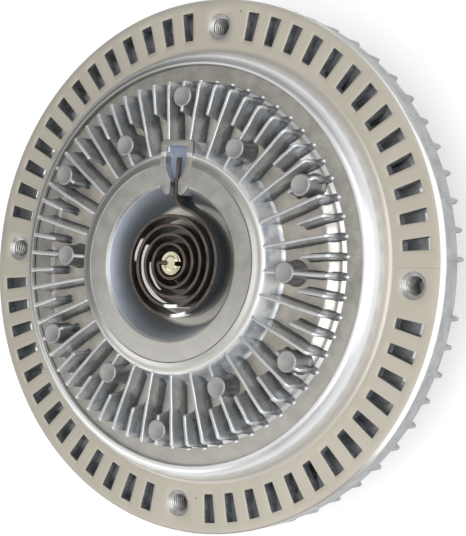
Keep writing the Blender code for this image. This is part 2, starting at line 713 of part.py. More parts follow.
def coil_pocket():
    """The keyhole cut into the hub's face for the coil's outer end."""
    start, end = pocket_radii()
    half, throat = POCKET_WIDTH / 2, THROAT_WIDTH / 2
    side = [
        (start, throat),
        (start + 2.2 * MM, throat + 1.3 * MM),
        (start + 4.4 * MM, half - 0.3 * MM),
        (start + 6.5 * MM, half),
        (end - 1.2 * MM, half),
        (end - 0.3 * MM, half - 0.4 * MM),
        (end, half - 1.2 * MM),
    ]
    outline = [(r, -y) for r, y in side] + [(r, y) for r, y in reversed(side)]
    bm = bmesh.new()
    prism(bm, outline, FACE + POCKET_FLOOR, FACE + HUB_TOP + OVERLAP, turned_by(QUARTER_TURN))
    return helper("coil_pocket", bm)


def coil_throat():
    start, _ = pocket_radii()
    throat = THROAT_WIDTH / 2
    inner = CUP_FLOOR_RADIUS - 1.5 * MM
    outline = [(inner, -throat), (start + 0.2 * MM, -throat), (start + 0.2 * MM, throat), (inner, throat)]
    bm = bmesh.new()
    prism(bm, outline, STRIP_BOTTOM - GAP, FACE + HUB_TOP + OVERLAP, turned_by(QUARTER_TURN))
    return helper("coil_throat", bm)


def screw_angles():
    return [math.tau * (i + 0.5) / PLATE_SCREW_COUNT for i in range(PLATE_SCREW_COUNT)]


def screw_holes():
    bm = bmesh.new()
    high = PLATE_BOTTOM + PLATE_SCREW_LENGTH + GAP
    for angle in screw_angles():
        outline = circle(PLATE_SCREW_RADIUS + GAP, 8, (PLATE_SCREW_CIRCLE, 0))
        prism(bm, outline, PLATE_BOTTOM - OVERLAP, high, turned_by(angle))
    return helper("screw_holes", bm)


def make_cover():
    cover = turned_object("front_cover", cover_profile(), ALUMINIUM)
    boolean(cover, shaft_boss(), "UNION")
    boolean(cover, reservoir(), "DIFFERENCE")
    boolean(cover, shaft_bore(), "DIFFERENCE")
    boolean(cover, cover_fins(), "UNION")
    boolean(cover, cover_pads(), "UNION")
    boolean(cover, coil_collar(), "UNION")
    boolean(cover, coil_pocket(), "DIFFERENCE")
    boolean(cover, coil_throat(), "DIFFERENCE")
    boolean(cover, screw_holes(), "DIFFERENCE")
    return cover


def make_cover_gasket():
    """A flat gasket on the body's seat, under the cover's rim."""
    low = FACE + SEAT_HEIGHT + GAP
    high = low + GASKET_THICKNESS
    inner, outer = CHAMBER_RADIUS + 2 * GAP, COVER_RADIUS
    profile = [(outer, high), (outer, low), (inner, low), (inner, high)]
    return turned_object("cover_gasket", profile, RUBBER, ROTOR_SEGMENTS)


def port_angles():
    """The ports lie under the arm's ends at rest."""
    return [0.0, HALF_TURN]


def wiper_angles():
    return [QUARTER_TURN, QUARTER_TURN + HALF_TURN]


def wiper_radius():
    return (PLATE_SCREW_CIRCLE + PLATE_RADIUS) / 2 - 1.2 * MM


def make_separator():
    """The plate between the reservoir and the rotor, with its ports, screw holes and wiper windows."""
    profile = [
        (0, PLATE_BOTTOM),
        (PLATE_RADIUS, PLATE_BOTTOM),
        (PLATE_RADIUS, PLATE_TOP),
        (0, PLATE_TOP),
    ]
    plate = turned_object("separator_plate", profile, STEEL, ROTOR_SEGMENTS)
    bm = bmesh.new()
    low, high = PLATE_BOTTOM - OVERLAP, PLATE_TOP + OVERLAP
    for angle in port_angles():
        prism(bm, circle(PORT_RADIUS, 8, (PORT_CIRCLE, 0)), low, high, turned_by(angle))
    for angle in screw_angles():
        hole = circle(PLATE_SCREW_RADIUS + GAP, 8, (PLATE_SCREW_CIRCLE, 0))
        prism(bm, hole, low, high, turned_by(angle))
    x, y = WIPER_WIDTH / 4 + GAP, WIPER_LENGTH / 4 + GAP
    center = wiper_radius()
    window = [(center - x, -y), (center + x, -y), (center + x, y), (center - x, y)]
    for angle in wiper_angles():
        prism(bm, window, low, high, turned_by(angle))
    boolean(plate, helper("plate_holes", bm), "DIFFERENCE")
    return plate


def make_wiper(index, angle):
    """A nylon wiper that scrapes the rotor's face, clipped through its window in the plate."""
    bm = bmesh.new()
    center = wiper_radius()
    x, y = WIPER_WIDTH / 2, WIPER_LENGTH / 2
    high = PLATE_BOTTOM - GAP
    block = [(center - x, -y), (center + x, -y), (center + x, y), (center - x, y)]
    prism(bm, block, ROTOR_TOP + GAP, high, turned_by(angle))
    wiper = object_from(f"wiper_{index}", bm, NYLON, smooth=False)
    tab = bmesh.new()
    x, y = x / 2, y / 2
    outline = [(center - x, -y), (center + x, -y), (center + x, y), (center - x, y)]
    prism(tab, outline, high - 0.5 * MM, PLATE_TOP, turned_by(angle))
    boolean(wiper, helper(f"wiper_tab_{index}", tab), "UNION")
    return wiper


def make_plate_screw(index, angle):
    """A screw with a domed head, driven up into the cover."""
    head = PLATE_BOTTOM - PLATE_SCREW_HEAD_HEIGHT
    profile = [
        (0, head),
        (PLATE_SCREW_HEAD - 0.6 * MM, head),
        (PLATE_SCREW_HEAD, PLATE_BOTTOM - GAP),
        (PLATE_SCREW_RADIUS, PLATE_BOTTOM - GAP),
        (PLATE_SCREW_RADIUS, PLATE_BOTTOM + PLATE_SCREW_LENGTH),
        (0, PLATE_BOTTOM + PLATE_SCREW_LENGTH),
    ]
    bm = bmesh.new()
    turned(bm, profile, 8)
    place = turned_by(angle) @ Matrix.Translation((PLATE_SCREW_CIRCLE, 0, 0))
    bmesh.ops.transform(bm, matrix=place, verts=bm.verts)
    return object_from(f"plate_screw_{index}", bm, BRIGHT_STEEL)


def make_control_shaft():
    """The forked shaft that the coil turns: a slotted post, a sealed journal and a square tenon."""
    seal_low = (BOSS_BOTTOM + BOSS_TOP) / 2 - SHAFT_SEAL_SECTION / 2 - GAP
    seal_high = seal_low + SHAFT_SEAL_SECTION + 2 * GAP
    groove = SHAFT_JOURNAL_RADIUS - SHAFT_SEAL_SECTION - GAP
    journal = SHAFT_JOURNAL_RADIUS
    top = FACE + SHAFT_TOP
    profile = [
        (0, top),
        (SHAFT_POST_RADIUS - POST_CHAMFER, top),
        (SHAFT_POST_RADIUS, top - POST_CHAMFER),
        (SHAFT_POST_RADIUS, POST_BOTTOM),
        (journal, POST_BOTTOM),
        (journal, seal_high),
        (groove, seal_high),
        (groove, seal_low),
        (journal, seal_low),
        (journal, ARM_TOP + GAP),
        (0, ARM_TOP + GAP),
    ]
    shaft = turned_object("control_shaft", profile, BRASS, SMALL_SEGMENTS)
    tenon = bmesh.new()
    half = TENON_WIDTH / 2
    square = [(-half, -half), (half, -half), (half, half), (-half, half)]
    prism(tenon, square, ARM_BOTTOM, ARM_TOP + GAP + OVERLAP)
    boolean(shaft, helper("shaft_tenon", tenon), "UNION")
    slit = bmesh.new()
    reach = SHAFT_POST_RADIUS + OVERLAP
    width = STRIP_THICKNESS / 2 + GAP
    outline = [(-reach, -width), (reach, -width), (reach, width), (-reach, width)]
    prism(slit, outline, STRIP_BOTTOM - GAP, top + OVERLAP)
    boolean(shaft, helper("shaft_slit", slit), "DIFFERENCE")
    return shaft


def make_shaft_seal():
    """A rubber ring of round section in the journal's groove."""
    center = (SHAFT_JOURNAL_RADIUS - SHAFT_SEAL_SECTION / 2, (BOSS_BOTTOM + BOSS_TOP) / 2)
    section = circle(SHAFT_SEAL_SECTION / 2, 6, center)
    return turned_object("control_shaft_seal", section, RUBBER, SMALL_SEGMENTS)


def make_thrust_washer():
    profile = [
        (WASHER_RADIUS, WASHER_TOP),
        (WASHER_RADIUS, WASHER_BOTTOM),
        (SHAFT_JOURNAL_RADIUS + GAP, WASHER_BOTTOM),
        (SHAFT_JOURNAL_RADIUS + GAP, WASHER_TOP),
    ]
    return turned_object("thrust_washer", profile, BRIGHT_STEEL, SMALL_SEGMENTS)


def make_valve_arm():
    """A flat arm with a round pad over each port and a square hole on the shaft's tenon."""
    half = ARM_WIDTH / 2
    pad = PORT_RADIUS + PAD_OVERLAP
    neck = PORT_CIRCLE - pad
    right = [(6.0 * MM, -half), (neck, -half * 0.6)]
    right += arc((PORT_CIRCLE, 0), pad, -140, 140, 10)
    right += [(neck, half * 0.6), (6.0 * MM, half)]
    left = [(-x, -y) for x, y in right]
    bm = bmesh.new()
    prism(bm, right + left, ARM_BOTTOM, ARM_TOP)
    arm = object_from("valve_arm", bm, STEEL, smooth=False)
    hole = bmesh.new()
    reach = TENON_WIDTH / 2 + GAP
    square = [(-reach, -reach), (reach, -reach), (reach, reach), (-reach, reach)]
    prism(hole, square, ARM_BOTTOM - OVERLAP, ARM_TOP + OVERLAP)
    boolean(arm, helper("arm_hole", hole), "DIFFERENCE")
    return arm


def coil_centerline():
    """The strip's path from the slit out: a hook, a spiral whose radius grows evenly, and a tail.

    It leaves the slit on the left, seen from the front, and winds counter-clockwise.
    """
    hook = COIL_START - SHAFT_POST_RADIUS
    points = [(0.6 * SHAFT_POST_RADIUS, 0.0), (0.4 * hook - SHAFT_POST_RADIUS, 0.0)]
    points += arc((-SHAFT_POST_RADIUS, -hook), hook, 102, 168, 3)
    last = COIL_TURNS - TAIL_TURN
    for turn in np.linspace(0.06, last, round(last * COIL_SEGMENTS)):
        radius = max(COIL_START, COIL_START - COIL_TUCK + COIL_PITCH * turn)
        angle = HALF_TURN + math.tau * turn
        points.append((radius * math.cos(angle), radius * math.sin(angle)))
    end_radius = COIL_START - COIL_TUCK + COIL_PITCH * last
    end_x = end_radius * math.sin(math.tau * TAIL_TURN)
    points += arc((end_x, end_radius + end_x), end_x, 250, 180, 3)
    throat_end, _ = pocket_radii()
    points.append((0.0, throat_end - 1.0 * MM))
    points.append((0.0, throat_end - 0.5 * MM))
    points.append((0.0, end_radius + end_x + TAIL_LENGTH))
    return points


def make_coil():
    """The bimetal strip on its edge, narrower where its tail lies in the pocket."""
    path = [Vector((x, y, 0)) for x, y in coil_centerline()]
    low = [STRIP_BOTTOM] * (len(path) - 2) + [FACE + POCKET_FLOOR + GAP] * 2
    high = FACE + STRIP_TOP
    bm = bmesh.new()
    rings = []
    for i, point in enumerate(path):
        before = path[max(i - 1, 0)]
        after = path[min(i + 1, len(path) - 1)]
        along = (after - before).normalized()
        side = Vector((-along.y, along.x, 0)) * STRIP_THICKNESS / 2
        corners = [(side, low[i]), (-side, low[i]), (-side, high), (side, high)]
        rings.append([bm.verts.new(point + offset + Vector((0, 0, z))) for offset, z in corners])
    bm.faces.new(rings[0])
    bm.faces.new(rings[-1][::-1])
    for a, b in zip(rings, rings[1:]):
        for k in range(4):
            bm.faces.new((a[k], a[(k + 1) % 4], b[(k + 1) % 4], b[k]))
    return object_from("bimetal_coil", bm, BRONZE)


def hexagon(across_flats):
    return circle(across_flats / math.sqrt(3), 6)


def make_input_shaft():
    """The shaft with its hex hub and tapped socket, bearing journal, rotor seat and lock-ring groove."""
    step = BEARING_TOP
    groove = ROTOR_SEAT_RADIUS - LOCK_RING_DEPTH
    profile = [
        (0, NOSE_TOP),
        (ROTOR_SEAT_RADIUS, NOSE_TOP),
        (ROTOR_SEAT_RADIUS, LOCK_GROOVE_TOP),
        (groove, LOCK_GROOVE_TOP),
        (groove, LOCK_GROOVE_BOTTOM),
        (ROTOR_SEAT_RADIUS, LOCK_GROOVE_BOTTOM),
        (ROTOR_SEAT_RADIUS, step),
        (JOURNAL_RADIUS, step),
        (JOURNAL_RADIUS, FLANGE_TOP),
        (JOURNAL_RADIUS + FLANGE_OVERHANG, FLANGE_TOP),
        (JOURNAL_RADIUS + FLANGE_OVERHANG, FLANGE_BOTTOM),
        (NECK_RADIUS, FLANGE_BOTTOM),
        (NECK_RADIUS, HEX_LENGTH - OVERLAP),
        (0, HEX_LENGTH - OVERLAP),
    ]
    shaft = turned_object("input_shaft", profile, BRIGHT_STEEL, BEARING_SEGMENTS)
    bm = bmesh.new()
    prism(bm, hexagon(HEX_ACROSS_FLATS), 0, HEX_LENGTH)
    hub = helper("hex_hub", bm)
    corner = HEX_ACROSS_FLATS / math.sqrt(3) + 0.3 * MM
    face = corner - HEX_CHAMFER * 1.6
    blank = bmesh.new()
    profile = [
        (0, 0),
        (face, 0),
        (corner, HEX_CHAMFER),
        (corner, HEX_LENGTH - HEX_CHAMFER),
        (face, HEX_LENGTH),
        (0, HEX_LENGTH),
    ]
    turned(blank, profile, BEARING_SEGMENTS)
    boolean(hub, helper("hex_blank", blank), "INTERSECT")
    boolean(shaft, hub, "UNION")
    socket = bmesh.new()
    profile = [
        (0, SOCKET_DEPTH + SOCKET_CONE),
        (SOCKET_RADIUS, SOCKET_DEPTH),
        (SOCKET_RADIUS, SOCKET_MOUTH),
        (SOCKET_RADIUS + SOCKET_MOUTH + OVERLAP, -OVERLAP),
        (0, -OVERLAP),
    ]
    turned(socket, profile, SMALL_SEGMENTS)
    boolean(shaft, helper("hub_socket", socket), "DIFFERENCE")
    return shaft


def make_rotor():
    """The drive rotor, with lands that run in the body's grooves."""
    bore = ROTOR_SEAT_RADIUS + GAP
    hub = bore + ROTOR_HUB_WALL
    points = [
        (ROTOR_RADIUS, ROTOR_TOP),
        (hub + 2.0 * MM, ROTOR_TOP),
        (hub + 1.0 * MM, ROTOR_HUB_TOP),
        (bore, ROTOR_HUB_TOP),
        (bore, SHOULDER_BOTTOM),
        (hub, SHOULDER_BOTTOM),
        (hub, ROTOR_UNDERSIDE),
    ]
    for inner, outer in rotor_land_radii():
        points += [(inner, ROTOR_UNDERSIDE), (inner, ROTOR_LAND_BOTTOM), (outer, ROTOR_LAND_BOTTOM)]
        if outer < ROTOR_RADIUS:
            points.append((outer, ROTOR_UNDERSIDE))
    rotor = turned_object("drive_rotor", points, ALUMINIUM, ROTOR_SEGMENTS)
    bm = bmesh.new()
    middle = (hub + rotor_land_radii()[0][0]) / 2
    for i in range(RELIEF_HOLES):
        outline = circle(RELIEF_RADIUS, 8, (middle, 0))
        angle = (i + 0.1) * math.tau / RELIEF_HOLES
        prism(bm, outline, ROTOR_LAND_BOTTOM, ROTOR_TOP + OVERLAP, turned_by(angle))
    boolean(rotor, helper("relief_holes", bm), "DIFFERENCE")
    return rotor


def open_ring(name, inner, outer, low, high, opening, finish):
    """A flat snap ring with a gap, its ends square."""
    half = opening / 2
    steps = 14
    outline = arc((0, 0), outer, half, 360 - half, steps) + arc((0, 0), inner, 360 - half, half, steps)
    bm = bmesh.new()
    prism(bm, outline, low, high)
    return object_from(name, bm, finish)


def make_lock_ring():
    inner = ROTOR_SEAT_RADIUS - LOCK_RING_DEPTH + GAP
    outer = inner + LOCK_RING_WIDTH
    low = LOCK_GROOVE_BOTTOM + GAP / 2
    return open_ring("rotor_lock_ring", inner, outer, low, low + LOCK_RING_THICKNESS, 40, STEEL)


def make_bearing_clip():
    outer = BEARING_SEAT + CLIP_DEPTH - GAP
    inner = outer - 2 * CLIP_DEPTH
    high = BEARING_BOTTOM - GAP
    return open_ring("bearing_clip", inner, outer, high - CLIP_THICKNESS, high, 30, STEEL)


def race_profile(groove_radius, shoulder, back, outward):
    """A bearing race: the groove is an arc about the balls' path, in the shoulder's face."""
    half = BEARING_WIDTH / 2
    reach = abs(shoulder - BALL_PATH)
    rise = math.sqrt(groove_radius**2 - reach**2)
    limit = math.degrees(math.atan2(rise, reach))
    middle = 0 if outward else 180
    groove = arc((BALL_PATH, BEARING_MIDDLE), groove_radius, middle - limit, middle + limit, 3)
    if not outward:
        groove.reverse()
    face = [(shoulder, BEARING_MIDDLE - half)] + groove + [(shoulder, BEARING_MIDDLE + half)]
    return face + [(back, BEARING_MIDDLE + half), (back, BEARING_MIDDLE - half)]


def make_races():
    groove = BALL_RADIUS + GROOVE_CLEARANCE
    inner = race_profile(groove, INNER_RACE_RADIUS, INNER_RACE_BORE, outward=False)
    outer = race_profile(groove, OUTER_RACE_BORE, OUTER_RACE_RADIUS, outward=True)
    turned_object("bearing_inner_race", inner, BRIGHT_STEEL, BEARING_SEGMENTS)
    turned_object("bearing_outer_race", outer, BRIGHT_STEEL, BEARING_SEGMENTS)


def ball_angles():
    return [i * math.tau / BALL_COUNT for i in range(BALL_COUNT)]


def make_cage():
    """A ribbon between the races, bored radially for each ball."""
    half = BALL_RADIUS + GAP + CAGE_RIM
    inner, outer = BALL_PATH - CAGE_THICKNESS / 2, BALL_PATH + CAGE_THICKNESS / 2
    low, high = BEARING_MIDDLE - half, BEARING_MIDDLE + half
    profile = [(outer, high), (outer, low), (inner, low), (inner, high)]
    cage = turned_object("bearing_cage", profile, BRASS, BEARING_SEGMENTS)
    bm = bmesh.new()
    for angle in ball_angles():
        outward = turned_by(angle) @ Matrix.Rotation(QUARTER_TURN, 4, "Y")
        hole = Matrix.Translation((0, 0, BEARING_MIDDLE)) @ outward
        prism(bm, circle(BALL_RADIUS + GAP, 8), inner - OVERLAP, outer + OVERLAP, hole)
    boolean(cage, helper("cage_holes", bm), "DIFFERENCE")
    return cage


def make_ball(index, angle, carrier):
    bm = bmesh.new()
    bmesh.ops.create_uvsphere(bm, u_segments=8, v_segments=5, radius=BALL_RADIUS)
    ball = object_from(f"bearing_ball_{index}", bm, BRIGHT_STEEL)
    ball.location = (BALL_PATH * math.cos(angle), BALL_PATH * math.sin(angle), BEARING_MIDDLE)
    ball.parent = carrier
    return ball


def make_bearing_seal(name, side):
    """A thin shield between the races, held by the outer one."""
    edge = BEARING_MIDDLE + side * BEARING_WIDTH / 2
    inward = edge - side * SEAL_THICKNESS
    inner, outer = INNER_RACE_RADIUS + GAP, OUTER_RACE_BORE - GAP
    profile = [(outer, edge), (outer, inward), (inner, inward), (inner, edge)]
    return turned_object(name, profile, RUBBER, BEARING_SEGMENTS)


def axis_empty(name):
    """An empty on the common axis, which carries the pieces that turn together."""
    made = bpy.data.objects.new(name, None)
    made.empty_display_size = 0.02
    bpy.context.scene.collection.objects.link(made)
    return made


def carry(carrier, *pieces):
    for piece in pieces:
        piece.parent = carrier


def main():
    for old in list(bpy.data.objects):
        bpy.data.objects.remove(old, do_unlink=True)
    housing = axis_empty("housing_axis")
    cover_axis = axis_empty("cover_axis")
    ball_axis = axis_empty("ball_axis")
    cover_axis.parent = housing
    cover_axis.rotation_euler.z = COVER_TURN

    make_input_shaft()
    make_rotor()
    make_lock_ring()
    make_races()

    carry(housing, make_body(), make_bearing_clip(), bpy.data.objects["bearing_outer_race"])
    carry(housing, make_bearing_seal("bearing_seal_front", 1), make_bearing_seal("bearing_seal_rear", -1))
    carry(ball_axis, make_cage())
    for index, angle in enumerate(ball_angles(), 1):
        make_ball(index, angle, ball_axis)

    carry(cover_axis, make_cover(), make_cover_gasket(), make_separator())
    for index, angle in enumerate(screw_angles(), 1):
        carry(cover_axis, make_plate_screw(index, angle))
    for index, angle in enumerate(wiper_angles(), 1):
        carry(cover_axis, make_wiper(index, angle))
    carry(cover_axis, make_thrust_washer(), make_coil())
    carry(cover_axis, make_control_shaft(), make_shaft_seal(), make_valve_arm())
    for tool in [o for o in bpy.data.objects if o.hide_render]:
        for user in bpy.data.objects:
            if any(m.type == "BOOLEAN" and m.object == tool for m in user.modifiers):
                tool.parent = user.parent


main()
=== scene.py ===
"""Looks of the viscous fan clutch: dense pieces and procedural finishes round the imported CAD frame.

Lengths are in millimetres and are multiplied by MM where they meet Blender. A height "over the face"
is measured from the slotted ring's machined face, and the clutch's axis is the Z axis.
"""
import logging
import math
from collections.abc import Callable, Sequence
from dataclasses import dataclass, field
from enum import Enum

import bmesh
import bpy
import numpy as np
from mathutils import Matrix, Vector


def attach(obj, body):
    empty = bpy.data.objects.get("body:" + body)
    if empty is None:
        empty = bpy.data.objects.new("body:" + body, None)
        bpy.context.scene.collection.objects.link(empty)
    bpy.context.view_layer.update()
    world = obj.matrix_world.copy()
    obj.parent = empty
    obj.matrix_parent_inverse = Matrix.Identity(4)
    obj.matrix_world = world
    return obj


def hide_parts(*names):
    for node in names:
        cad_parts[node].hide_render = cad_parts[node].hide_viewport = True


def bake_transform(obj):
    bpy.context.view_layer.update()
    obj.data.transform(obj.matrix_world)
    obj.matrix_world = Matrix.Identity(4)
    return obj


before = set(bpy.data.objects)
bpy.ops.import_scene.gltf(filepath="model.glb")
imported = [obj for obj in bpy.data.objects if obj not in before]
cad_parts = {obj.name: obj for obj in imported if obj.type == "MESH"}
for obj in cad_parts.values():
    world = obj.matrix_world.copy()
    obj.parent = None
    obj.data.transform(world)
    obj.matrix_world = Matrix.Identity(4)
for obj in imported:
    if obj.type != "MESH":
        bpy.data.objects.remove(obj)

Color = tuple[float, float, float]
Span = tuple[float, float]

LOG = logging.getLogger("fan_clutch")
MM = 0.001
TAU = math.tau
FACE = 45.0
COVER_TURN = math.radians(0.7)
BOLT_COUNT = 4
BOLT_CIRCLE = 85.2
BOLT_DEPTH = 14.6
NEAR_AXIS = 0.01
SHARP = 32.0
MERGE = 0.002
CORNER_SHARE = 0.48
QUARTERS = np.arange(BOLT_COUNT) * TAU / BOLT_COUNT


class Body(Enum):
    """The moving bodies of the clutch."""

    INPUT = "input"
    HOUSING = "housing"
    CONTROL = "control"


class Slot(Enum):
    """The record's material slots, by name."""

    CAST = "cast_aluminium"
    TURNED = "turned_aluminium"
    MACHINED = "machined_steel"
    SPRING = "spring_steel"
    BEARING = "bearing_steel"
    BRASS = "brass"
    COIL = "coil_bimetal"
    RUBBER = "seal_rubber"


# Shader maths


class Nodes:
    """A node tree, and the one method that adds nodes to it."""

    def __init__(self, tree: bpy.types.NodeTree) -> None:
        """Keeps the tree."""
        self.tree = tree

    def node(self, kind: str, settings: dict | None = None, inputs: dict | None = None) -> bpy.types.Node:
        """Adds one node: its settings first, then its sockets.

        Args:
            kind: Blender's node type.
            settings: attributes of the node, such as a Math node's operation, and for a ramp its
                stops, each a position and a colour.
            inputs: socket name or number to a number, a colour, a socket or a Value.

        Returns:
            The node.
        """
        made = self.tree.nodes.new(kind)
        for key, value in (settings or {}).items():
            if key == "stops":
                self.set_stops(made.color_ramp.elements, value)
            else:
                setattr(made, key, value)
        for key, value in (inputs or {}).items():
            if isinstance(value, (Value, bpy.types.NodeSocket)):
                self.link(value, made.inputs[key])
            else:
                made.inputs[key].default_value = value
        return made

    def set_stops(self, elements: bpy.types.ColorRampElements, stops: Sequence[tuple[float, Color]]) -> None:
        """Gives a ramp its stops.

        Args:
            elements: the ramp's elements, of which a new ramp has two.
            stops: positions and colours, in order.
        """
        for index, (position, color) in enumerate(stops):
            stop = elements[index] if index < len(elements) else elements.new(position)
            stop.position = position
            stop.color = (*color, 1.0)

    def link(self, value: "Value | bpy.types.NodeSocket", socket: bpy.types.NodeSocket) -> None:
        """Links a value or an output to an input."""
        self.tree.links.new(value.socket if isinstance(value, Value) else value, socket)


class Value:
    """A shader socket that carries one number, so that node maths reads as Python."""

    def __init__(self, nodes: Nodes, socket: bpy.types.NodeSocket) -> None:
        """Keeps the socket and the tree that it belongs to."""
        self.nodes = nodes
        self.socket = socket

    def _math(self, operation: str, *values: "Value | float") -> "Value":
        """Adds one Math node.

        Args:
            operation: Blender's name of the operation.
            values: the operands, in the node's order.

        Returns:
            The node's result.
        """
        made = self.nodes.node("ShaderNodeMath", {"operation": operation}, dict(enumerate(values)))
        return Value(self.nodes, made.outputs[0])

    def __add__(self, other: "Value | float") -> "Value":
        """Sum."""
        return self._math("ADD", self, other)

    def __radd__(self, other: float) -> "Value":
        """Sum with a number on the left."""
        return self._math("ADD", other, self)

    def __sub__(self, other: "Value | float") -> "Value":
        """Difference."""
        return self._math("SUBTRACT", self, other)

    def __rsub__(self, other: float) -> "Value":
        """Difference from a number on the left."""
        return self._math("SUBTRACT", other, self)

    def __mul__(self, other: "Value | float") -> "Value":
        """Product."""
        return self._math("MULTIPLY", self, other)

    def __rmul__(self, other: float) -> "Value":
        """Product with a number on the left."""
        return self._math("MULTIPLY", other, self)

    def __truediv__(self, other: "Value | float") -> "Value":
        """Quotient."""
        return self._math("DIVIDE", self, other)

    def __pow__(self, other: "Value | float") -> "Value":
        """Power."""
        return self._math("POWER", self, other)

    def root(self) -> "Value":
        """Square root."""
        return self._math("SQRT", self)

    def absolute(self) -> "Value":
        """Size without its sign."""
        return self._math("ABSOLUTE", self)

    def least(self, other: "Value | float") -> "Value":
        """The smaller of two values."""
        return self._math("MINIMUM", self, other)

    def most(self, other: "Value | float") -> "Value":
        """The larger of two values."""
        return self._math("MAXIMUM", self, other)

    def spread(self, width: float) -> "Value":
        """Noise from 0 to 1 made a change about nought that is width wide."""
        return (self - 0.5) * width

    def between(self, low: float, high: float, soft: float = 0.1) -> "Value":
        """1 between two numbers and 0 outside them, with soft ends."""
        return self.step(low - soft, low + soft) * self.step(high + soft, high - soft)

    def step(self, start: float, end: float) -> "Value":
        """A smooth step from 0 at start to 1 at end; start may be the larger.

        Args:
            start: the value that gives 0.
            end: the value that gives 1.

        Returns:
            The step.
        """
        inputs = {0: self, 1: start, 2: end, 3: 0.0, 4: 1.0}
        if start > end:
            inputs = {0: self, 1: end, 2: start, 3: 1.0, 4: 0.0}
        made = self.nodes.node("ShaderNodeMapRange", {"interpolation_type": "SMOOTHSTEP"}, inputs)
        return Value(self.nodes, made.outputs[0])


Paint = Color | bpy.types.NodeSocket


class Shader(Nodes):
    """One material's node tree, read from Object coordinates."""

    def __init__(self, name: str) -> None:
        """Starts a material with its Principled shader and the point's place in millimetres."""
        self.material = bpy.data.materials.new(name)
        self.material.use_nodes = True
        super().__init__(self.material.node_tree)
        self.surface = self.tree.nodes["Principled BSDF"]
        place_m = self.node("ShaderNodeTexCoord").outputs["Object"]
        inputs = {0: place_m, "Scale": 1 / MM}
        self.place = self.node("ShaderNodeVectorMath", {"operation": "SCALE"}, inputs).outputs[0]
        self.x, self.y, self.z = self.split(self.place)
        self.height = self.z - FACE
        self.radius = (self.x * self.x + self.y * self.y).root()

    def split(self, vector: bpy.types.NodeSocket) -> list[Value]:
        """A vector's three parts."""
        return [Value(self, out) for out in self.node("ShaderNodeSeparateXYZ", {}, {0: vector}).outputs]

    def noise(self, size: float, detail: float = 3.0, stretch: Sequence[float] = (1, 1, 1)) -> Value:
        """Noise from 0 to 1.

        Args:
            size: the size of its blotches in millimetres.
            detail: how many finer layers it has.
            stretch: how many times longer the blotches are along each axis.

        Returns:
            The noise's value.
        """
        inputs = {0: self.place, 1: tuple(1 / (size * s) for s in stretch)}
        vector = self.node("ShaderNodeVectorMath", {"operation": "MULTIPLY"}, inputs).outputs[0]
        inputs = {"Vector": vector, "Scale": 1.0, "Detail": detail, "Roughness": 0.55}
        return Value(self, self.node("ShaderNodeTexNoise", {}, inputs).outputs[0])

    def rings(self, along: Value, size: float, detail: float = 4.0) -> Value:
        """Noise that only changes along one measure, such as the radius of a turned face.

        Args:
            along: the measure, in millimetres.
            size: the width of its widest lines in millimetres.
            detail: how many finer layers it has.

        Returns:
            The noise's value, from 0 to 1.
        """
        inputs = {"W": along / size, "Scale": 1.0, "Detail": detail, "Roughness": 0.7}
        return Value(self, self.node("ShaderNodeTexNoise", {"noise_dimensions": "1D"}, inputs).outputs[0])

    def specks(self, size: float, share: float) -> Value:
        """Small scattered spots, 1 inside a spot and 0 outside.

        Args:
            size: the usual distance between spots in millimetres.
            share: a spot's radius as a share of that distance.

        Returns:
            The spots' mask.
        """
        inputs = {"Vector": self.place, "Scale": 1 / size}
        distance = Value(self, self.node("ShaderNodeTexVoronoi", {}, inputs).outputs["Distance"])
        return distance.step(share, share * 0.5)

    def mix(self, factor: Value, a: Paint, b: Paint) -> bpy.types.NodeSocket:
        """Mixes two colours.

        Args:
            factor: 0 gives a and 1 gives b.
            a: a colour or a socket that carries one.
            b: the same.

        Returns:
            The mixed colour's socket.
        """
        ends = [(*c, 1.0) if isinstance(c, tuple) else c for c in (a, b)]
        made = self.node("ShaderNodeMix", {"data_type": "RGBA"}, {0: factor, 6: ends[0], 7: ends[1]})
        return made.outputs[2]

    def layers(self, color: Paint, *layers: tuple[Value, Paint]) -> Paint:
        """Lays colours over a colour, one after the other.

        Args:
            color: the lowest colour.
            layers: pairs of a mask and the colour that shows where the mask is 1.

        Returns:
            The colour that shows in the end.
        """
        for mask, over in layers:
            color = self.mix(mask, color, over)
        return color

    def set(self, **constants: float | tuple[float, ...]) -> None:
        """Sets constant sockets of the Principled shader, written with _ for a space."""
        for key, value in constants.items():
            self.surface.inputs[key.replace("_", " ")].default_value = value

    def feed(self, name: str, value: "Value | bpy.types.NodeSocket") -> None:
        """Links a value or a colour to a socket of the Principled shader."""
        self.link(value, self.surface.inputs[name])

    def toward(self, x: float, y: float) -> Value:
        """The cosine between the way out from the axis and the direction (x, y)."""
        return (self.x * x + self.y * y) / (self.radius + NEAR_AXIS)

    def faces_axis(self) -> Value:
        """1 where the surface faces the clutch's axis: its normal against the way out."""
        across, up, _ = self.split(self.node("ShaderNodeTexCoord").outputs["Normal"])
        return ((across * self.x + up * self.y) / (self.radius + NEAR_AXIS)).step(-0.3, -0.7)

    def emboss(self, height: Value) -> None:
        """Feeds a height in millimetres to the shader's normal."""
        bump = self.node("ShaderNodeBump", {}, {"Strength": 1.0, "Distance": MM, "Height": height})
        self.feed("Normal", bump.outputs[0])


# Finishes. A Span in a finish is where a zone fades in, from nothing at its first number to full at its
# second, or for a ring the two radii that the zone lies between.


class Finish:
    """What every finish has: a name, and a method that paints it."""

    name: str

    def paint(self, s: Shader) -> None:
        """Paints the finish on a shader; each kind of finish has its own."""
        raise NotImplementedError

    def material(self) -> bpy.types.Material:
        """Builds the material under the finish's name.

        Returns:
            The material.
        """
        shader = Shader(self.name)
        self.paint(shader)
        return shader.material


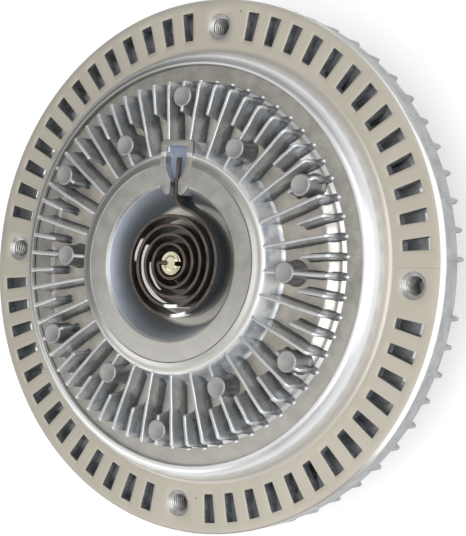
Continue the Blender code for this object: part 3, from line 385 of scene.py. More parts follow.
@dataclass(frozen=True)
class PadFinish(Finish):
    """The cover's pads: as-cast aluminium with a fine skin, soft blotches and dark pores."""

    name: str = "cover_pad_finish"
    color: Color = (0.43, 0.43, 0.42)
    shade: Color = (0.33, 0.33, 0.33)
    pore: Color = (0.05, 0.05, 0.05)
    roughness: float = 0.40

    def paint(self, s: Shader) -> None:
        """Paints the finish.

        Args:
            s: the material's shader.
        """
        blotches, skin = s.noise(7.0, 4.0), s.noise(0.5)
        pores = s.specks(2.6, 0.12) * s.noise(9.0, 2.0).step(0.45, 0.62) * 0.5
        mottle = (blotches * 0.7 + skin * 0.3).step(0.25, 0.75)
        s.feed("Base Color", s.layers(s.mix(mottle, self.shade, self.color), (pores, self.pore)))
        s.feed("Roughness", self.roughness + blotches.spread(0.22) + skin.spread(0.12))
        s.set(Metallic=0.9)
        s.emboss(skin * 0.03 + blotches * 0.06 - pores * 0.05)


@dataclass(frozen=True)
class HubFinish(Finish):
    """The cover's hub: a satin face and bevel, a pale wall, a bluish cup and pocket and a dull cup floor,
    with painted highlights and painted shade.
    """

    name: str = "cover_hub_finish"
    face: Color = (0.44, 0.43, 0.405)
    face_shade: Color = (0.31, 0.305, 0.29)
    # painted highlight: the face is lighter towards its lower side
    face_low_highlight: Color = (0.74, 0.72, 0.68)
    bevel: Color = (0.45, 0.44, 0.42)
    # painted shade on the left side of the bevel
    bevel_left_shade: Color = (0.17, 0.17, 0.165)
    # painted shadow line at the bevel's inner edge, on the lower right
    shadow_line: Color = (0.11, 0.105, 0.10)
    # painted highlight line at the bevel's inner edge, on the left
    highlight_line: Color = (0.95, 0.95, 0.94)
    # painted highlight along the round corner between bevel and wall
    corner: Color = (0.80, 0.795, 0.78)
    # the wall's pale tone and bluish blotches are partly aluminium and partly a painted sky reflection
    wall: Color = (0.82, 0.82, 0.815)
    wall_shade: Color = (0.40, 0.435, 0.49)
    # the cup's tones are painted light: a highlight on its left, lighter high up, painted shade towards its
    # floor
    cup_left_highlight: Color = (0.72, 0.78, 0.88)
    cup_upper_light: Color = (0.40, 0.44, 0.50)
    cup_low_shade: Color = (0.25, 0.27, 0.295)
    cup_floor: Color = (0.76, 0.735, 0.67)
    pocket: Color = (0.31, 0.355, 0.44)
    cup_radius: Span = (26.9, 26.4)
    cup_top: Span = (18.2, 17.6)
    cup_shade_rise: Span = (8.0, 19.0)
    floor_top: Span = (6.2, 5.2)
    pocket_length: Span = (28.3, 41.4)
    pocket_side: Span = (4.7, 4.45)
    pocket_top: Span = (18.3, 18.1)
    wall_radius: Span = (38.0, 38.4)
    wall_top: Span = (17.5, 17.0)
    bevel_ring: Span = (34.3, 38.6)
    bevel_top: Span = (18.5, 18.35)
    bevel_left_shade_radius: Span = (34.6, 34.9)
    corner_highlight_ring: Span = (37.3, 38.8)
    shadow_line_ring: Span = (34.1, 34.55)
    highlight_line_ring: Span = (34.15, 34.65)

    def paint(self, s: Shader) -> None:
        """Paints the finish, zone by zone along the radius and the height.

        Args:
            s: the material's shader.
        """
        blotches, skin = s.noise(7.0, 5.0), s.noise(0.5)
        in_cup = s.radius.step(*self.cup_radius) * s.height.step(*self.cup_top)
        on_floor = s.height.step(*self.floor_top) * in_cup
        in_pocket = s.y.between(*self.pocket_length) * s.x.absolute().step(*self.pocket_side)
        in_pocket = in_pocket * s.height.step(*self.pocket_top)
        beside = 1 - in_pocket
        outside = s.radius.step(*self.wall_radius) * s.height.step(*self.wall_top) * beside
        on_bevel = s.radius.between(*self.bevel_ring) * s.height.step(*self.bevel_top) * beside
        on_corner_highlight = s.radius.between(*self.corner_highlight_ring, 0.2) * beside
        at_left = s.toward(-0.95, 0.3).step(0.35, 0.85)
        low_right = s.toward(0.8, -0.6).step(-0.3, 0.35)
        at_right = s.toward(1.0, 0.0).step(-0.2, 0.5)
        # painted shadow: a dark line at the bevel's inner edge, on the lower right only
        shadow_line_mask = s.radius.between(*self.shadow_line_ring, 0.08) * (0.35 + blotches * 0.9) * low_right
        mottle = (blotches * 0.7 + skin * 0.3).step(0.32, 0.68)
        # painted shade deep in the cup, fading to painted light near its mouth, with a painted highlight on
        # the left
        cup_shade_rise = (s.height + blotches * 3.0).step(*self.cup_shade_rise) ** 2.0
        lit = s.mix(s.toward(-1.0, 0.1).step(0.25, 1.0), self.cup_upper_light, self.cup_left_highlight)
        color = s.layers(
            s.mix(mottle, self.face_shade, self.face),
            (on_bevel * 0.7, self.bevel),
            # painted highlight: lighter towards the lower side
            (s.y.step(5.0, -34.0) * 0.5, self.face_low_highlight),
            (shadow_line_mask, self.shadow_line),
            # pale wall with bluish blotches: partly aluminium, partly a painted sky reflection
            (outside, s.mix(blotches.step(0.35, 0.6), self.wall_shade, self.wall)),
            # painted highlight along the round corner between bevel and wall
            (on_corner_highlight * 0.8, self.corner),
            # painted shade: the bevel is darker on the left
            (at_left * s.radius.step(*self.bevel_left_shade_radius) * beside * 0.6, self.bevel_left_shade),
            # painted highlight: a bright line at the bevel's inner edge, on the left only
            (at_left * s.radius.between(*self.highlight_line_ring) * 0.8, self.highlight_line),
            (in_cup, s.mix(cup_shade_rise, self.cup_low_shade, lit)),
            (on_floor, self.cup_floor),
            (in_pocket, self.pocket))
        s.feed("Base Color", color)
        rough = 0.34 + blotches.spread(0.22) + skin.spread(0.1)
        s.feed("Roughness", rough + in_cup * 0.02 + on_floor * 0.14 + in_pocket * 0.3)
        s.feed("Metallic", 0.85 - outside * 0.35 - in_cup * (0.3 + at_right * 0.4) - in_pocket * 0.4)
        s.emboss(skin * 0.006 + blotches * 0.05)


@dataclass(frozen=True)
class FloorFinish(Finish):
    """The cover's cast floor: warm between the fins, with a painted highlight on its slope and bevel, dull on
    its rim.
    """

    name: str = "cover_floor_finish"
    floor: Color = (0.54, 0.505, 0.445)
    floor_shade: Color = (0.37, 0.345, 0.305)
    rim: Color = (0.44, 0.425, 0.39)
    rim_shade: Color = (0.30, 0.29, 0.262)
    # painted highlight: the rim is lighter towards its lower side
    rim_low_highlight: Color = (0.62, 0.60, 0.56)
    # painted highlight on the floor's slope and bevel
    slope_highlight: Color = (0.90, 0.89, 0.90)
    rim_radius: Span = (61.9, 62.5)
    slope_ring: Span = (58.7, 61.7)
    bevel_ring: Span = (63.15, 64.2)

    def paint(self, s: Shader) -> None:
        """Paints the finish, zone by zone along the radius.

        Args:
            s: the material's shader.
        """
        blotches, skin = s.noise(6.0, 5.0), s.noise(0.6)
        mottle = (blotches * 0.75 + skin * 0.25).step(0.33, 0.67)
        on_rim = s.radius.step(*self.rim_radius)
        # the slope and bevel get a patchy painted highlight, and are smoother there
        dull = 0.25 + s.noise(7.0).step(0.4, 0.58) * 0.75
        painted_sheen_and_polish = s.radius.between(*self.slope_ring, 0.5) * dull + s.radius.between(*self.bevel_ring)
        color = s.layers(
            s.mix(mottle, self.floor_shade, self.floor),
            (on_rim, s.mix(mottle, self.rim_shade, self.rim)),
            # painted highlight: lighter towards the lower side
            (s.y.step(0.0, -64.0) * on_rim * 0.4, self.rim_low_highlight),
            (painted_sheen_and_polish * (0.75 + blotches * 0.3), self.slope_highlight))
        s.feed("Base Color", color)
        s.feed("Roughness", 0.38 + blotches.spread(0.24) + skin.spread(0.1) - painted_sheen_and_polish * 0.06)
        s.set(Metallic=0.8)
        s.emboss((skin * 0.02 + blotches * 0.09) * (1 - painted_sheen_and_polish * 0.8))


@dataclass(frozen=True)
class FinFinish(Finish):
    """The cover's fins: blue-grey mottled sides with painted shade towards the floor, a dull top, and painted
    highlights on their feet.
    """

    name: str = "cover_fin_finish"
    side: Color = (0.76, 0.78, 0.80)
    side_shade: Color = (0.22, 0.235, 0.255)
    top: Color = (0.56, 0.56, 0.555)
    # painted highlight on the fins' outer feet
    foot: Color = (0.88, 0.88, 0.89)
    # heights over which painted shade lifts off the sides
    side_shade_heights: Span = (9.5, 16.5)
    top_heights: Span = (17.74, 17.84)
    foot_radius: Span = (64.1, 64.7)

    def paint(self, s: Shader) -> None:
        """Paints the finish.

        Args:
            s: the material's shader.
        """
        blotches, skin = s.noise(5.0, 5.0, (1.0, 1.0, 0.7)), s.noise(0.5)
        runs = s.noise(1.2, 3.0, (2.0, 2.0, 0.35))
        # painted shade: the sides darken towards the floor, over a random mottle
        tone = blotches * 0.55 + runs * 0.25 + s.height.step(*self.side_shade_heights) * 0.42
        on_top = s.height.step(*self.top_heights)
        color = s.layers(
            s.mix(tone.step(0.42, 0.80), self.side_shade, self.side),
            (on_top, self.top),
            # painted highlight on the fins' outer feet
            (s.radius.step(*self.foot_radius) * 0.9, self.foot))
        s.feed("Base Color", color)
        s.feed("Roughness", 0.30 + blotches.spread(0.25) + skin.spread(0.12) + on_top * 0.06)
        s.set(Metallic=0.8)
        s.emboss(skin * 0.025 + blotches * 0.08 + runs * 0.03)


@dataclass(frozen=True)
class RearCasting(Finish):
    """The casting behind the ring: a mottled, dented skirt, and painted shade in the hollows between the rear
    fins.
    """

    name: str = "rear_casting_finish"
    skirt: Color = (0.42, 0.425, 0.43)
    skirt_shade: Color = (0.28, 0.287, 0.295)
    scar: Color = (0.24, 0.25, 0.26)
    # painted shade in the hollows between the rear fins
    hollow_shade: Color = (0.175, 0.19, 0.205)
    hollow_shade_high: Color = (0.30, 0.31, 0.325)
    hollow_radius: Span = (92.5, 92.3)
    hollow_heights: Span = (-14.0, -9.0)

    def paint(self, s: Shader) -> None:
        """Paints the finish.

        Args:
            s: the material's shader.
        """
        blotches, skin = s.noise(5.0, 5.0), s.noise(0.7, 4.0)
        scars = s.noise(3.5, 2.0, (1.0, 1.0, 2.5)).step(0.60, 0.72)
        tone = (blotches * 0.65 + skin * 0.35).step(0.34, 0.66)
        # painted shade: darker in the hollows inside the skirt
        hidden = s.radius.step(*self.hollow_radius) * s.height.step(*self.hollow_heights)
        color = s.layers(
            s.mix(tone, self.skirt_shade, self.skirt),
            (scars * 0.5, self.scar),
            (hidden, s.mix(tone, self.hollow_shade, self.hollow_shade_high)))
        s.feed("Base Color", color)
        s.feed("Roughness", 0.5 + blotches.spread(0.25) + skin.spread(0.15))
        s.set(Metallic=0.55)
        s.emboss(skin * 0.07 + blotches * 0.12 - scars * 0.12)


@dataclass(frozen=True)
class ThreadFinish(Finish):
    """A tapped hole: bright crests, and painted shade in the roots and deep down, by the distance from the
    nearest of four axes.
    """

    name: str = "tapped_finish"
    crest: Color = (0.80, 0.79, 0.77)
    # painted shade in the thread roots
    root: Color = (0.045, 0.045, 0.05)
    chamfer: Color = (0.66, 0.65, 0.64)
    chamfer_shade: Color = (0.34, 0.33, 0.32)
    deep_shade: Color = (0.10, 0.095, 0.09)
    root_shade_radius: Span = (3.47, 3.85)
    chamfer_heights: Span = (-1.1, -0.9)
    thread_heights: Span = (-0.8, -1.1)
    deep_shade_heights: Span = (-6.5, -10.0)

    def paint(self, s: Shader) -> None:
        """Paints the finish.

        Args:
            s: the material's shader.
        """
        x, y = s.x.absolute(), s.y.absolute()
        from_axis = ((x - BOLT_CIRCLE) ** 2.0 + y * y).least(x * x + (y - BOLT_CIRCLE) ** 2.0).root()
        in_root = from_axis.step(*self.root_shade_radius) * s.height.step(*self.thread_heights)
        on_chamfer = s.height.step(*self.chamfer_heights)
        marks = s.noise(0.6)
        lines = s.rings(from_axis, 0.35) * 0.6 + marks * 0.4
        chamfer = s.mix(lines.step(0.35, 0.65), self.chamfer_shade, self.chamfer)
        color = s.layers(
            s.mix(on_chamfer, self.crest, chamfer),
            # painted shade in the roots and deep in the hole
            (in_root, self.root),
            (s.height.step(*self.deep_shade_heights) * 0.7, self.deep_shade))
        s.feed("Base Color", color)
        s.feed("Roughness", 0.24 + marks * 0.14 + in_root * 0.2 + on_chamfer * 0.1)
        s.set(Metallic=0.8)
        s.emboss(marks * 0.01 + lines * on_chamfer * 0.02)


@dataclass(frozen=True)
class TurnedMetal(Finish):
    """Aluminium or steel cut on a lathe: fine rings about the axis and a stretched highlight."""

    name: str
    color: Color
    shade: Color
    roughness: float = 0.33
    anisotropy: float = 0.4
    groove: float = 0.0035
    pitch: float = 0.6

    def paint(self, s: Shader) -> None:
        """Paints the finish.

        Args:
            s: the material's shader.
        """
        lines = s.rings(s.radius + s.z * 0.7, self.pitch)
        haze = s.noise(16.0)
        color = s.mix((lines * 0.6 + haze * 0.4).step(0.3, 0.7), self.shade, self.color)
        s.feed("Base Color", self.tinted(s, color))
        s.feed("Roughness", self.roughness + lines.spread(0.07) + haze.spread(0.1))
        s.set(Metallic=1.0, Anisotropic=self.anisotropy)
        s.emboss(lines * self.groove)

    def tinted(self, s: Shader, color: Paint) -> Paint:
        """The colour as it is; a finish with tones of its own lays them over it here."""
        return color


@dataclass(frozen=True)
class ShoulderFinish(TurnedMetal):
    """The polished shoulder: turned, with painted shade to the left, and warm and matter at its foot."""

    name: str = "shoulder_finish"
    color: Color = (0.86, 0.86, 0.86)
    shade: Color = (0.72, 0.72, 0.72)
    # painted shade on the left side
    left: Color = (0.16, 0.16, 0.15)
    warm: Color = (0.585, 0.553, 0.50)
    left_shade_radius: Span = (76.6, 76.2)
    warm_radius: Span = (75.0, 76.5)
    foot_radius: Span = (72.2, 74.5)

    def paint(self, s: Shader) -> None:
        """Paints the finish.

        Args:
            s: the material's shader.
        """
        super().paint(s)
        s.feed("Metallic", 1.0 - s.radius.step(*self.foot_radius) * 0.55)

    def tinted(self, s: Shader, color: Paint) -> Paint:
        """Lays the painted shade on the left side and the warm foot over the metal's colour.

        Args:
            s: the material's shader.
            color: the turned metal's colour.

        Returns:
            The colour that shows.
        """
        # painted shade on the left side
        at_left = s.toward(-0.87, 0.5).step(0.3, 0.95) * s.radius.step(*self.left_shade_radius)
        return s.layers(color, (at_left * 0.7, self.left), (s.radius.step(*self.warm_radius), self.warm))


@dataclass(frozen=True)
class RingFinish(Finish):
    """The slotted ring: a warm faced surface, as-cast slot walls darkened by painted shade, and a bright
    turned edge with painted shade on its lower side.

    The turned band runs down the edge by up to band, most where the way out points to band_side, and
    below it the edge is as cast. Pits are places on the face, and a parting line crosses it at mark_side.
    """

    name: str = "ring_face_finish"
    face: Color = (0.585, 0.545, 0.465)
    face_shade: Color = (0.53, 0.495, 0.42)
    pit: Color = (0.10, 0.09, 0.08)
    # the slot walls' tones are as-cast grain darkened by painted shade
    wall: Color = (0.31, 0.32, 0.33)
    wall_shade: Color = (0.10, 0.11, 0.125)
    edge: Color = (0.88, 0.88, 0.87)
    # painted shade on the turned edge's lower side
    edge_low_shade: Color = (0.36, 0.325, 0.305)
    cast: Color = (0.50, 0.50, 0.49)
    cast_shade: Color = (0.38, 0.39, 0.39)
    outer: float = 95.0
    edge_radius: Span = (94.45, 94.65)
    band: float = 3.2
    band_side: float = math.radians(-12)
    band_reach: Span = (0.66, 0.88)
    low_shade_reach: Span = (0.52, 0.72)
    wall_depths: Span = (0.1, 0.35)
    mark_side: float = math.radians(3.85)
    mark_radius: Span = (77.0, 80.0)
    pits: Sequence[Span] = ((8.6, 90.6), (7.7, -82.3))
    pit_radius: Span = (0.42, 0.22)

    def paint(self, s: Shader) -> None:
        """Paints the finish.

        Args:
            s: the material's shader.
        """
        lines, haze, grain = s.rings(s.radius, 0.5, 5.0), s.noise(22.0), s.noise(0.45)
        depth = s.height * -1.0
        below = depth.step(*self.wall_depths)
        on_edge = s.radius.step(*self.edge_radius)
        toward = (s.x * math.cos(self.band_side) + s.y * math.sin(self.band_side)) / self.outer
        ragged = self.band * toward.step(*self.band_reach) + s.noise(6.0).spread(1.0) + 0.25
        as_cast = (depth - ragged).step(-0.1, 0.1) * on_edge
        # the turned edge is duller on its lower side: rougher, and darkened by painted shade
        dull = (s.y / -self.outer + haze.spread(0.12)).step(*self.low_shade_reach)
        specks = s.specks(5.5, 0.05) * s.noise(14.0, 2.0).step(0.5, 0.6)
        for pit_x, pit_y in self.pits:
            away = ((s.x - pit_x) ** 2.0 + (s.y - pit_y) ** 2.0).root()
            specks = specks.most(away.step(*self.pit_radius))
        across = s.y * math.cos(self.mark_side) - s.x * math.sin(self.mark_side)
        mark = across.between(-0.1, 0.1, 0.08) * s.x.step(*self.mark_radius) * 0.3
        color = s.layers(
            s.mix((lines * 0.35 + haze * 0.65).step(0.3, 0.7), self.face_shade, self.face),
            ((specks * 0.8).most(mark), self.pit),
            # slot walls: as-cast grain, darkened by painted shade
            (below, s.mix((grain + s.noise(3.0) - 0.5).step(0.3, 0.8), self.wall_shade, self.wall)),
            (on_edge, s.mix(dull, self.edge, self.edge_low_shade)),
            (as_cast, s.mix(haze, self.cast_shade, self.cast)))
        s.feed("Base Color", color)
        face_rough = 0.43 + lines.spread(0.1) + haze.spread(0.08)
        edge_rough = 0.22 + lines.spread(0.1) + dull * 0.35
        on_wall = below * (1 - on_edge)
        rough = face_rough * (1 - on_edge) + edge_rough * on_edge * (1 - as_cast) + as_cast * 0.5
        s.feed("Roughness", rough + on_wall * 0.08)
        s.feed("Metallic", 0.72 - on_wall * 0.3)
        s.set(Anisotropic=0.35)
        s.emboss(lines * 0.0025 + grain * below * 0.03 - specks * 0.03)


@dataclass(frozen=True)
class StripFinish(Finish):
    """The heat-coloured bimetal strip: brown faces, paler rolled edges, and painted glints that also glow."""

    name: str = "bimetal_finish"
    face: Color = (0.075, 0.058, 0.048)
    face_shade: Color = (0.16, 0.13, 0.11)
    edge: Color = (0.15, 0.12, 0.10)
    edge_shade: Color = (0.085, 0.068, 0.056)
    # painted light: a pale grey for the outermost turn's outer face
    back: Color = (0.20, 0.205, 0.215)
    # painted glint colour
    glint: Color = (0.95, 0.95, 0.96)
    edge_heights: Span = (17.15, 17.4)
    outer_turn: Span = (15.2, 15.4)
    inner_turns: Span = (12.1, 11.9)
    outer_face_light_radius: Span = (16.0, 16.4)
    soft: float = 0.15

    def paint(self, s: Shader) -> None:
        """Paints the finish.

        The painted glints are windows in direction, radius and height: three on the inside of the
        turns at the left, one low on an inner turn and one on the outermost turn.

        Args:
            s: the material's shader.
        """
        streaks, blotches = s.noise(1.6, 3.0, (3.0, 3.0, 0.5)), s.noise(5.0)
        on_edge = s.height.step(*self.edge_heights)
        height = s.height + blotches.spread(1.2)
        outer, inner = s.radius.step(*self.outer_turn), s.radius.step(*self.inner_turns)
        inward = s.faces_axis()
        # painted glints: windows on the strip where it shows a bright reflection
        left = self.side(s, 167, 14) * outer * height.between(12.6, 15.7, self.soft)
        middle = self.side(s, 207, 52) * (1 - inner) * (1 - outer) * height.between(12.9, 15.8, self.soft)
        narrow = self.side(s, 212, 30) * inner * height.between(13.9, 15.3, self.soft)
        narrow = narrow * s.radius.step(9.4, 9.6)
        low = self.side(s, 277, 10) * s.radius.between(14.1, 15.6)
        foot = self.side(s, 287, 9) * s.radius.step(16.6, 16.8) * height.step(14.0, 14.2)
        glints = (left.most(middle).most(narrow) * inward).most(low).most(foot)
        edge = s.mix((streaks * 0.6 + blotches * 0.4).step(0.35, 0.62), self.edge_shade, self.edge)
        color = s.layers(
            s.mix(blotches.step(0.35, 0.7), self.face, self.face_shade),
            # painted light lifts the outermost turn's outer face
            ((1 - inward) * s.radius.step(*self.outer_face_light_radius) * 0.75, self.back),
            (on_edge, edge),
            (glints, self.glint))
        s.feed("Base Color", color)
        s.feed("Roughness", 0.26 + streaks.spread(0.2) + on_edge * 0.12)
        s.feed("Metallic", 0.75 - glints * 0.5)
        # the painted glints also glow through emission
        s.feed("Emission Color", s.mix(glints, (0.0, 0.0, 0.0), (1.0, 1.0, 1.0)))
        s.set(Emission_Strength=0.42)
        s.emboss(streaks * 0.012)

    def side(self, s: Shader, direction: float, reach: float) -> Value:
        """1 within an angle of a direction about the axis.

        Args:
            s: the material's shader.
            direction: the direction, in degrees.
            reach: the angle to each side of it, in degrees.

        Returns:
            The mask.
        """
        limit = math.cos(math.radians(reach))
        along = s.toward(math.cos(math.radians(direction)), math.sin(math.radians(direction)))
        return along.step(limit - 0.01, limit + 0.01)


@dataclass(frozen=True)
class PlainMetal(Finish):
    """Ground or stamped metal with fine random marks, for steel, brass and hidden pieces."""

    name: str
    color: Color
    shade: Color
    roughness: float = 0.28
    mark: float = 0.004
    mark_size: float = 0.8

    def paint(self, s: Shader) -> None:
        """Paints the finish.

        Args:
            s: the material's shader.
        """
        marks, haze = s.noise(self.mark_size, 4.0, (1.0, 1.0, 3.0)), s.noise(9.0)
        s.feed("Base Color", s.mix(haze.step(0.3, 0.7), self.shade, self.color))
        s.feed("Roughness", self.roughness + marks.spread(0.15) + haze.spread(0.12))
        s.set(Metallic=1.0)
        s.emboss(marks * self.mark)


@dataclass(frozen=True)
class Moulded(Finish):
    """Rubber or nylon: a soft sheen and a fine moulded grain."""

    name: str
    color: Color
    roughness: float

    def paint(self, s: Shader) -> None:
        """Paints the finish.

        Args:
            s: the material's shader.
        """
        grain, haze = s.noise(0.35), s.noise(6.0)
        lighter = tuple(min(1.0, c * 1.35 + 0.01) for c in self.color)
        s.feed("Base Color", s.mix(haze.step(0.3, 0.7), self.color, lighter))
        s.feed("Roughness", self.roughness + grain.spread(0.15))
        s.emboss(grain * 0.01)


# Surfaces


@dataclass
class Patchwork:
    """Points and faces of one piece, gathered from grids that are worked out as whole arrays."""

    name: str
    points: list[np.ndarray] = field(default_factory=list)
    faces: list[np.ndarray] = field(default_factory=list)
    count: int = 0

    def add(self, points: np.ndarray, *faces: np.ndarray) -> None:
        """Adds points and the faces between them.

        Args:
            points: an (n, 3) array in millimetres.
            faces: arrays of corner numbers, one row to a face.
        """
        self.points.append(points)
        self.faces.extend(part + self.count for part in faces)
        self.count += len(points)

    def add_grid(self, grid: np.ndarray, ring_rows: bool = False, ring_columns: bool = False) -> None:
        """Adds a (rows, columns, 3) grid of points as quads.

        Args:
            grid: the points in millimetres.
            ring_rows: True if the last row joins the first.
            ring_columns: True if the last column joins the first.
        """
        self.add(grid.reshape(-1, 3), grid_faces(*grid.shape[:2], ring_rows, ring_columns))

    def add_stack(self, grid: np.ndarray) -> None:
        """Adds a grid whose rows are closed loops, with one polygon over each end."""
        self.add(grid.reshape(-1, 3), *stack_faces(*grid.shape[:2]))

    def add_copies(self, points: np.ndarray, faces: Sequence[np.ndarray], angles: np.ndarray) -> None:
        """Adds one shape turned about the axis to each of the angles.

        Args:
            points: (n, 3) for one shape, or (copies, n, 3) where each copy differs.
            faces: the shape's faces.
            angles: the angles in radians.
        """
        copies = turned(np.broadcast_to(points, (len(angles), *points.shape[-2:])), angles[:, None])
        shift = (np.arange(len(angles)) * points.shape[-2])[:, None, None]
        shifted = [(part[None] + shift).reshape(-1, part.shape[1]) for part in faces]
        self.add(copies.reshape(-1, 3), *shifted)

    def add_grid_copies(
            self, grid: np.ndarray, angles: np.ndarray, ring_rows: bool, ring_columns: bool) -> None:
        """Adds one grid turned about the axis to each of the angles.

        Args:
            grid: a (rows, columns, 3) grid of points in millimetres.
            angles: the angles in radians.
            ring_rows: True if the last row joins the first.
            ring_columns: True if the last column joins the first.
        """
        self.add_copies(grid.reshape(-1, 3), [grid_faces(*grid.shape[:2], ring_rows, ring_columns)], angles)

    def to_object(self, sharp: float = SHARP) -> bpy.types.Object:
        """Makes the object, with doubles merged, faces outwards and edges over an angle kept sharp.

        Args:
            sharp: the angle in degrees.

        Returns:
            The object, at the origin.
        """
        points = np.concatenate(self.points) * MM
        corners = np.concatenate([part.ravel() for part in self.faces])
        sizes = np.concatenate([np.full(len(part), part.shape[1]) for part in self.faces])
        mesh = bpy.data.meshes.new(self.name)
        mesh.vertices.add(len(points))
        mesh.vertices.foreach_set("co", points.astype(np.float32).ravel())
        mesh.loops.add(len(corners))
        mesh.loops.foreach_set("vertex_index", corners.astype(np.int32))
        mesh.polygons.add(len(sizes))
        starts = np.concatenate([[0], np.cumsum(sizes)[:-1]])
        mesh.polygons.foreach_set("loop_start", starts.astype(np.int32))
        mesh.update(calc_edges=True)
        bm = bmesh.new()
        bm.from_mesh(mesh)
        bmesh.ops.remove_doubles(bm, verts=bm.verts, dist=MERGE * MM)
        bmesh.ops.dissolve_degenerate(bm, edges=bm.edges, dist=MERGE * MM / 2)
        bmesh.ops.recalc_face_normals(bm, faces=bm.faces)
        bm.to_mesh(mesh)
        bm.free()
        mesh.shade_smooth()
        mesh.set_sharp_from_angle(angle=math.radians(sharp))
        return linked(self.name, mesh)


def linked(name: str, data: bpy.types.ID) -> bpy.types.Object:
    """Makes an object and puts it in the scene.

    Args:
        name: its name.
        data: its mesh, light or camera.

    Returns:
        The object, at the origin.
    """
    made = bpy.data.objects.new(name, data)
    bpy.context.scene.collection.objects.link(made)
    return made


def turned(points: np.ndarray, angle: float | np.ndarray) -> np.ndarray:
    """Turns points about the axis: (x cos a - y sin a, x sin a + y cos a, z).

    Args:
        points: an array of points, with x, y and z along its last axis.
        angle: the angle in radians, or angles that fit the array's other axes.

    Returns:
        The turned points.
    """
    x, y, z = points[..., 0], points[..., 1], points[..., 2]
    c, s = np.cos(angle), np.sin(angle)
    return np.stack([x * c - y * s, x * s + y * c, z], -1)


def around(radius: np.ndarray | float, angle: np.ndarray, z: np.ndarray | float) -> np.ndarray:
    """Points about the axis: (radius cos a, radius sin a, z).

    Args:
        radius: their radii in millimetres.
        angle: their angles in radians.
        z: their heights in millimetres; all three fit together as numpy's arrays do.

    Returns:
        The points, with x, y and z along the last axis.
    """
    r, a, z = np.broadcast_arrays(radius, angle, z)
    return np.stack([r * np.cos(a), r * np.sin(a), z], -1)


def steps_round(segments: int) -> np.ndarray:
    """Even angles round the axis, one to a row."""
    return np.arange(segments)[:, None] * TAU / segments


def mirrored(half: Sequence[Span]) -> np.ndarray:
    """A closed outline from its (r, y) half on the positive side of y."""
    return np.array([(r, -y) for r, y in half] + [(r, y) for r, y in reversed(half)])


def grid_faces(rows: int, columns: int, ring_rows: bool, ring_columns: bool) -> np.ndarray:
    """Corner numbers of the quads of a grid of points.

    Args:
        rows: how many rows of points.
        columns: how many points in a row.
        ring_rows: True if the last row joins the first.
        ring_columns: True if the last column joins the first.

    Returns:
        An (n, 4) array.
    """
    index = np.arange(rows * columns).reshape(rows, columns)
    if ring_rows:
        index = np.vstack([index, index[:1]])
    if ring_columns:
        index = np.hstack([index, index[:, :1]])
    corners = [index[:-1, :-1], index[:-1, 1:], index[1:, 1:], index[1:, :-1]]
    return np.stack(corners, -1).reshape(-1, 4)


def softened(outline: Sequence[Span], radius: float | Sequence[float], steps: int = 3) -> np.ndarray:
    """Rounds each corner of a closed outline with a quadratic curve that starts and ends on its sides.

    Args:
        outline: the corners, in order.
        radius: how far from a corner its curve starts, one number or one for each corner.
        steps: how many pieces each curve has.

    Returns:
        An (n, 2) array of points.
    """
    p = np.asarray(outline, float)
    before, after = np.roll(p, 1, 0), np.roll(p, -1, 0)
    back, ahead = before - p, after - p
    reach = np.broadcast_to(np.asarray(radius, float), len(p))
    lengths = np.linalg.norm(back, axis=1), np.linalg.norm(ahead, axis=1)
    cut = np.minimum(reach, CORNER_SHARE * np.minimum(*lengths))
    a = p + back * (cut / lengths[0])[:, None]
    c = p + ahead * (cut / lengths[1])[:, None]
    t = np.linspace(0, 1, steps + 1)[None, :, None]
    curve = (1 - t) ** 2 * a[:, None] + 2 * t * (1 - t) * p[:, None] + t**2 * c[:, None]
    return curve.reshape(-1, 2)


def lathe(profile: np.ndarray, segments: int, center: Sequence[float] = (0, 0, 0)) -> np.ndarray:
    """Turns a profile about an upright axis: point (r, z) at angle a is (r cos a, r sin a, z).

    Args:
        profile: (n, 2) radii and heights in millimetres.
        segments: how many steps round.
        center: where the axis stands, and how far the heights are raised.

    Returns:
        A (segments, n, 3) grid whose rows join round.
    """
    return around(profile[:, 0], steps_round(segments), profile[:, 1]) + center


def turned_piece(name: str, profile: np.ndarray, segments: int) -> bpy.types.Object:
    """A closed solid of revolution as an object.

    Args:
        name: the piece's name.
        profile: its closed outline as radii and heights in millimetres.
        segments: how many steps round.

    Returns:
        The object.
    """
    work = Patchwork(name)
    work.add_grid(lathe(profile, segments), ring_rows=True, ring_columns=True)
    return work.to_object()


def stack_faces(levels: int, count: int) -> list[np.ndarray]:
    """Faces of a stack of closed loops, one polygon at each end.

    Args:
        levels: how many loops.
        count: how many points in a loop.

    Returns:
        The quads, and the two caps.
    """
    walls = grid_faces(levels, count, False, True)
    first = np.arange(count)[::-1][None]
    last = (np.arange(count) + (levels - 1) * count)[None]
    return [walls, first, last]


def prism_piece(name: str, outline: np.ndarray, low: float, high: float, angle: float) -> bpy.types.Object:
    """A prism along a direction from the axis, for cutting or joining.

    Args:
        name: its name.
        outline: its (r, y) outline, r being along the direction.
        low: its lower height over the face.
        high: its upper height over the face.
        angle: the direction, in radians.

    Returns:
        The object.
    """
    loops = [np.column_stack([outline, np.full(len(outline), FACE + z)]) for z in (low, high)]
    work = Patchwork(name)
    work.add_stack(turned(np.stack(loops), angle))
    return work.to_object()


def place(
        piece: bpy.types.Object, body: Body, finish: Finish,
        replaces: Sequence[str] = ()) -> None:
    """Dresses a piece and ties it to the frame.

    Args:
        piece: the object.
        body: the body that it rides on.
        finish: the finish that makes its material.
        replaces: CAD nodes that it stands for.
    """
    piece.data.materials.clear()
    piece.data.materials.append(finish.material())
    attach(piece, body.value)
    if replaces:
        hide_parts(*replaces)
    LOG.info("%s rides on %s with %d faces", piece.name, body.value, len(piece.data.polygons))


